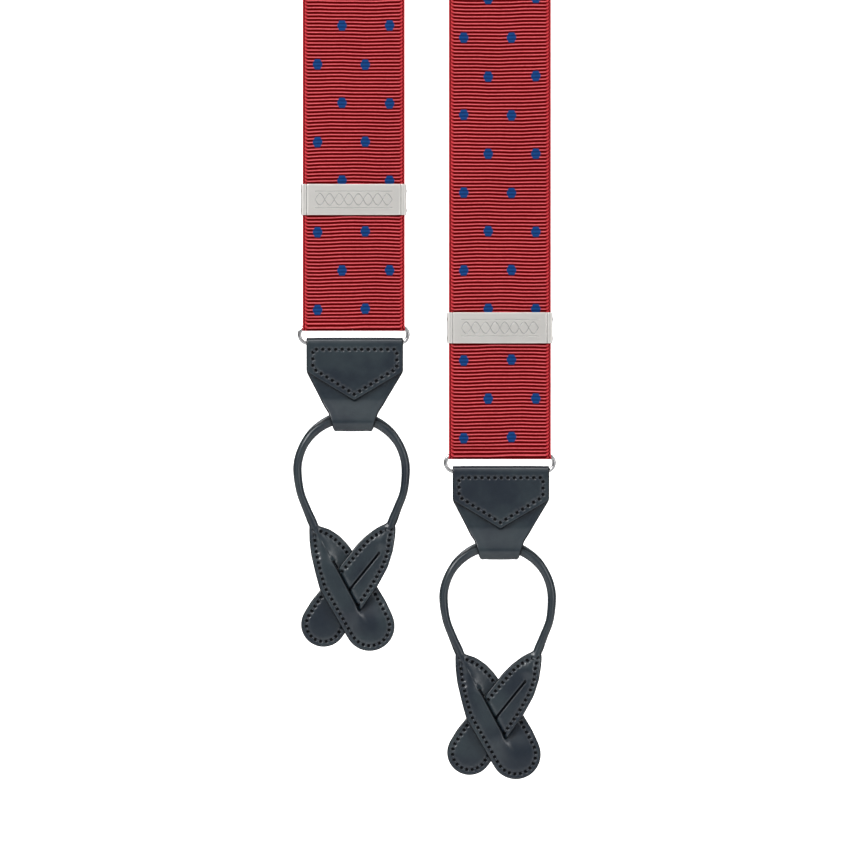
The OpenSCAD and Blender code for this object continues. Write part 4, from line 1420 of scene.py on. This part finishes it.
def patch_bend(way):
    def bend(flat, offset):
        from_side = np.interp(
            -flat[:, 1], [0, 16.7, patch_height - 16, patch_height - 8],
            [WIDE, WIDE - 1.2, NARROW + 2, NARROW]
        )
        room = from_side - np.abs(flat[:, 0])
        pinch = 1 - soft_step(room, 1.0, 6.0)
        pinch *= soft_step(-flat[:, 1], 8, 20) * (
            1 - soft_step(-flat[:, 1], patch_height - 24, patch_height - 10)
        )
        hollow = soft_step(-flat[:, 1], 28, 38) * (1 - soft_step(-flat[:, 1], 40, 48))
        y = plies_y + way * (1.4 - 0.65 * np.maximum(pinch, 0.6 * hollow) + offset)
        return np.stack([patch_x - way * flat[:, 0], y, patch_top + flat[:, 1]], -1)
    return bend


SCALE = Matrix.Scale(MM, 4)
outer = plate_piece(
    "back_patch_outer_ply", patch_outline, LEATHER, patch_bend(1), CALF, (), patch_holes, 1.3, 0.5, SCALE,
    False
)
inner = plate_piece(
    "back_patch_inner_ply", patch_outline, LEATHER, patch_bend(-1), LINING, (), patch_holes, 1.3, 0.5,
    SCALE, False
)
dress(outer, "braces", ["back_patch"])
dress(inner, "braces", ["back_patch_lining"])
rows = [(patch_holes, patch_bend(w), LEATHER / 2) for w in (1, -1)]
dress(sew("back_patch_thread", rows, THREAD, matrix=SCALE), "braces", ["back_patch_stitching"])
print("patch", len(outer.data.polygons), "faces a ply")

# %% [markdown]
# The ring is drawn wire bent to a long oval. The adjuster's cover is one strip of sheet metal: a flat
# face, a pressed crease near each end, and two walls folded back that hold the pin and the bar.

# %% Bend the rings


def tube(name, line, radius, material, matrix, sides=20):
    """A closed ring of wire round a line of points."""
    way = np.roll(line, -1, 0) - np.roll(line, 1, 0)
    way /= np.linalg.norm(way, axis=1)[:, None]
    depth = np.array([0.0, 1.0, 0.0])
    across = np.cross(way, depth)
    turns = 2 * np.pi * np.arange(sides) / sides
    rings = line[:, None] + radius * (
        np.cos(turns)[None, :, None] * across[:, None] + np.sin(turns)[None, :, None] * depth
    )
    index = np.arange(len(line) * sides).reshape(len(line), sides)
    following = np.roll(index, -1, 0)
    faces = np.stack([index, np.roll(index, -1, 1), np.roll(following, -1, 1), following], -1).reshape(-1, 4)
    return make_piece(name, rings.reshape(-1, 3), faces, material, {}, matrix)


for side in SIDES:
    low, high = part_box(f"{side}_ring")
    width, tall = (high.x - low.x) / MM, (high.z - low.z) / MM
    wire = (high.y - low.y) / 2 / MM
    r = tall / 2 - wire
    reach = width / 2 - wire - r
    centre_z = FOLD_Z - r
    half_turn = np.linspace(-math.pi / 2, math.pi / 2, 32)
    right = [(reach + r * math.cos(t), 0, centre_z + r * math.sin(t)) for t in half_turn]
    line = np.array([(x, 0, centre_z - r) for x in np.linspace(-reach, reach, 30)[1:-1]] + right)
    line = np.concatenate([line, [(x, 0, centre_z + r) for x in np.linspace(reach, -reach, 30)[1:-1]]])
    line = np.concatenate([line, [(-x, 0, 2 * centre_z - z) for x, _, z in right]])
    matrix = Matrix.Translation((STRAP[side]["x"] * MM, STRAP[side]["y"] * MM, STRAP[side]["z"] * MM)) @ SCALE
    ring = tube(f"{side}_ring_wire", line, wire, WIRE, matrix)
    dress(ring, f"{side}_wire_ring", [f"{side}_ring"])
print("ring", round(width, 1), "x", round(tall, 1), "mm")

# %% Fold the adjuster covers
SHEET = 0.6


def cover_profile(wall_x, face_y, back_y):
    """Outer and inner line of the folded sheet, seen from above, from the left wall to the right one."""
    bend_r = 0.75
    corner = [
        (wall_x - bend_r + bend_r * math.cos(t), face_y + bend_r - bend_r * math.sin(t))
        for t in np.linspace(0, math.pi / 2, 7)
    ]
    wall = [(wall_x, y) for y in np.linspace(back_y, face_y + bend_r + 0.2, 12)]
    dips = ((0.42, 0.0), (0.24, 0.05), (0.08, 0.3), (-0.08, 0.3), (-0.24, 0.05), (-0.42, 0.0))
    crease = [(CREASE_X + d, face_y + dip) for d, dip in dips]
    half = wall + corner + crease
    flat = [(x, face_y) for x in np.linspace(CREASE_X - 0.8, -CREASE_X + 0.8, 30)]
    line = np.array(half + flat + [(-x, y) for x, y in half[::-1]])[::-1]
    way = np.gradient(line, axis=0)
    way /= np.linalg.norm(way, axis=1)[:, None]
    return line, line + SHEET * np.stack([-way[:, 1], way[:, 0]], -1)


def fold_cover(name, side):
    low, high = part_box(f"{side}_adjuster_cover")
    x0 = (low.x + high.x) / 2 / MM
    outer_line, inner_line = cover_profile((high.x - low.x) / 2 / MM, low.y / MM, high.y / MM)
    z0, z1 = low.z / MM, high.z / MM
    levels = [
        (0, 0.16), (0.05, 0.05), (0.16, 0), (0.5, 0), (1.0, 0), (1.5, 0), (1.84, 0), (1.95, 0.05), (2, 0.16)
    ]
    verts, marks = [], []
    for line, sign in ((outer_line, 1), (inner_line, -1)):
        way = inner_line - outer_line
        way /= np.linalg.norm(way, axis=1)[:, None]
        back = high.y / MM
        short = np.clip(1.5 - (back - line[:, 1]), 0, 1.5)
        top = z1 - (1.5 - np.sqrt(np.maximum(0, 1.5 ** 2 - short ** 2)))
        for share, inset in levels:
            if share <= 0.5:
                z = np.full(len(line), z0 + share)
            elif share >= 1.5:
                z = top - (2 - share)
            else:
                z = z0 + 0.5 + (top - z0 - 1.0) * (share - 0.5)
            p = line + sign * way * inset
            verts.append(np.stack([x0 + p[:, 0], p[:, 1], z], -1))
            on_face = (np.abs(p[:, 0]) < CREASE_X - 0.5) * (sign > 0)
            marks.append(np.stack([p[:, 0], z - (z0 + z1) / 2, on_face * 1.0], -1))
    rows, columns = len(levels), len(outer_line)
    verts, marks = np.concatenate(verts), np.concatenate(marks)
    return make_piece(name, verts * MM, strip_faces(rows, columns), COVER, {"cloth": marks})


for side in SIDES:
    cover = fold_cover(f"{side}_cover_sheet", side)
    dress(cover, f"{side}_adjuster", [f"{side}_adjuster_cover"])
    for part in ("adjuster_pin", "adjuster_bar", "adjuster_lever"):
        node = frame["nodes"][f"{side}_{part}"]
        node.data.materials.clear()
        node.data.materials.append(PLATE)
print("covers", len(cover.data.polygons), "faces")

# %% [markdown]
# The set is a pale sweep of paper under and behind the braces, with large soft lights, so that the colours
# stay clean and the metal has something broad to reflect. The room is dim on the camera's side, far out to
# the sides, overhead and low down, except for one low bright strip, so flat leather stays deep in tone. The
# paper is clear when seen from its back, so the braces can be looked at from behind.

# %% Floor, backdrop and lights


def paper_sweep():
    material, tree, shader = new_material("pale_paper", Roughness=0.9, Specular_IOR_Level=0.2)
    shader.inputs["Base Color"].default_value = (0.80, 0.80, 0.80, 1)
    seen = add_node(tree, "ShaderNodeLightPath").outputs["Is Camera Ray"]
    tree.links.new(
        blend_colours(tree, seen, (0.05, 0.05, 0.05), (1.0, 1.0, 1.0)), shader.inputs["Emission Color"]
    )
    behind = add_node(tree, "ShaderNodeNewGeometry").outputs["Backfacing"]
    tree.links.new(invert(tree, behind), shader.inputs["Alpha"])
    shader.inputs["Emission Strength"].default_value = 0.8
    profile = [(-2.5, -0.95), (1.4, -0.95)]
    profile += [
        (1.4 + 0.6 * math.sin(t), -0.35 - 0.6 * math.cos(t)) for t in np.linspace(0.1, math.pi / 2, 14)
    ]
    profile += [(2.0, 2.2)]
    verts = [(x, y, z) for x in (-3, 3) for y, z in profile]
    n = len(profile)
    faces = [(i, n + i, n + i + 1, i + 1) for i in range(n - 1)]
    sweep = make_piece("paper_sweep", verts, faces, material)


def soft_light(name, place, aim, size, power):
    data = bpy.data.lights.new(name, "AREA")
    data.shape = "RECTANGLE"
    data.size, data.size_y = size
    data.energy = power
    lamp = bpy.data.objects.new(name, data)
    lamp.location = place
    lamp.rotation_euler = (Vector(aim) - Vector(place)).to_track_quat("-Z", "Y").to_euler()
    bpy.context.scene.collection.objects.link(lamp)


paper_sweep()
MIDDLE = (0, 0, -0.4)
soft_light("key_light", (-1.3, -1.7, 0.7), MIDDLE, (1.0, 1.0), 38)
soft_light("fill_light", (1.7, -1.5, -0.1), MIDDLE, (0.7, 1.4), 11)
soft_light("top_light", (0.1, -0.9, 1.5), MIDDLE, (1.2, 0.8), 13)
soft_light("back_light", (0.9, 1.5, 0.8), MIDDLE, (1.0, 1.0), 16)
soft_light("paper_light", (0, 0.5, 1.6), (0, 2.0, -0.4), (2.4, 1.0), 10)
world = bpy.data.worlds.new("soft_room")
world.use_nodes = True
sky = world.node_tree
around = add_node(sky, "ShaderNodeTexCoord").outputs["Generated"]
way = add_node(sky, "ShaderNodeSeparateXYZ", Vector=around).outputs
sideways = calc(sky, "ABSOLUTE", way[0])
open_room = invert(sky, step_between(sky, sideways, 0.6, 0.95))
camera_side = step_between(sky, calc(sky, "MULTIPLY", way[1], -1.0), 0.82, 0.985)
low_dark = step_between(sky, way[2], -0.75, 0.1)
top_dark = invert(sky, step_between(sky, way[2], 0.68, 0.97))
upper = calc(sky, "MULTIPLY", low_dark, top_dark)
strip = calc(
    sky, "MULTIPLY", step_between(sky, way[2], -0.78, -0.66),
    invert(sky, step_between(sky, way[2], -0.6, -0.48))
)
panels = calc(sky, "MULTIPLY", open_room, calc(sky, "MULTIPLY_ADD", strip, 0.7, upper))
dimmed = calc(sky, "MULTIPLY", panels, calc(sky, "MULTIPLY_ADD", camera_side, -0.70, 1.0))
room_light = calc(sky, "MULTIPLY_ADD", dimmed, 0.80, 0.04)
seen = add_node(sky, "ShaderNodeLightPath").outputs["Is Camera Ray"]
sky.nodes["Background"].inputs["Color"].default_value = (0.96, 0.97, 1.0, 1)
sky.links.new(calc(sky, "MAXIMUM", room_light, seen), sky.nodes["Background"].inputs["Strength"])
bpy.context.scene.world = world

# %% [markdown]
# The camera looks straight at the front from a few metres away with a long lens, so the ribbons stay
# parallel, and it frames the two lower ends.

# %% Camera
FRONT_Y = STRAP["left"]["y"] * MM
camera_data = bpy.data.cameras.new("camera")
camera_data.sensor_width = 36
camera_data.lens = 36 * 3.0 / 0.3182
camera = bpy.data.objects.new("camera", camera_data)
low_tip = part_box("right_leaf_a")[0].z
camera.location = (-0.00066, FRONT_Y - 3.0, low_tip + 0.13265)
camera.rotation_euler = (math.radians(90), 0, 0)
bpy.context.scene.collection.objects.link(camera)
bpy.context.scene.camera = camera
bpy.context.scene.view_settings.view_transform = "Standard"
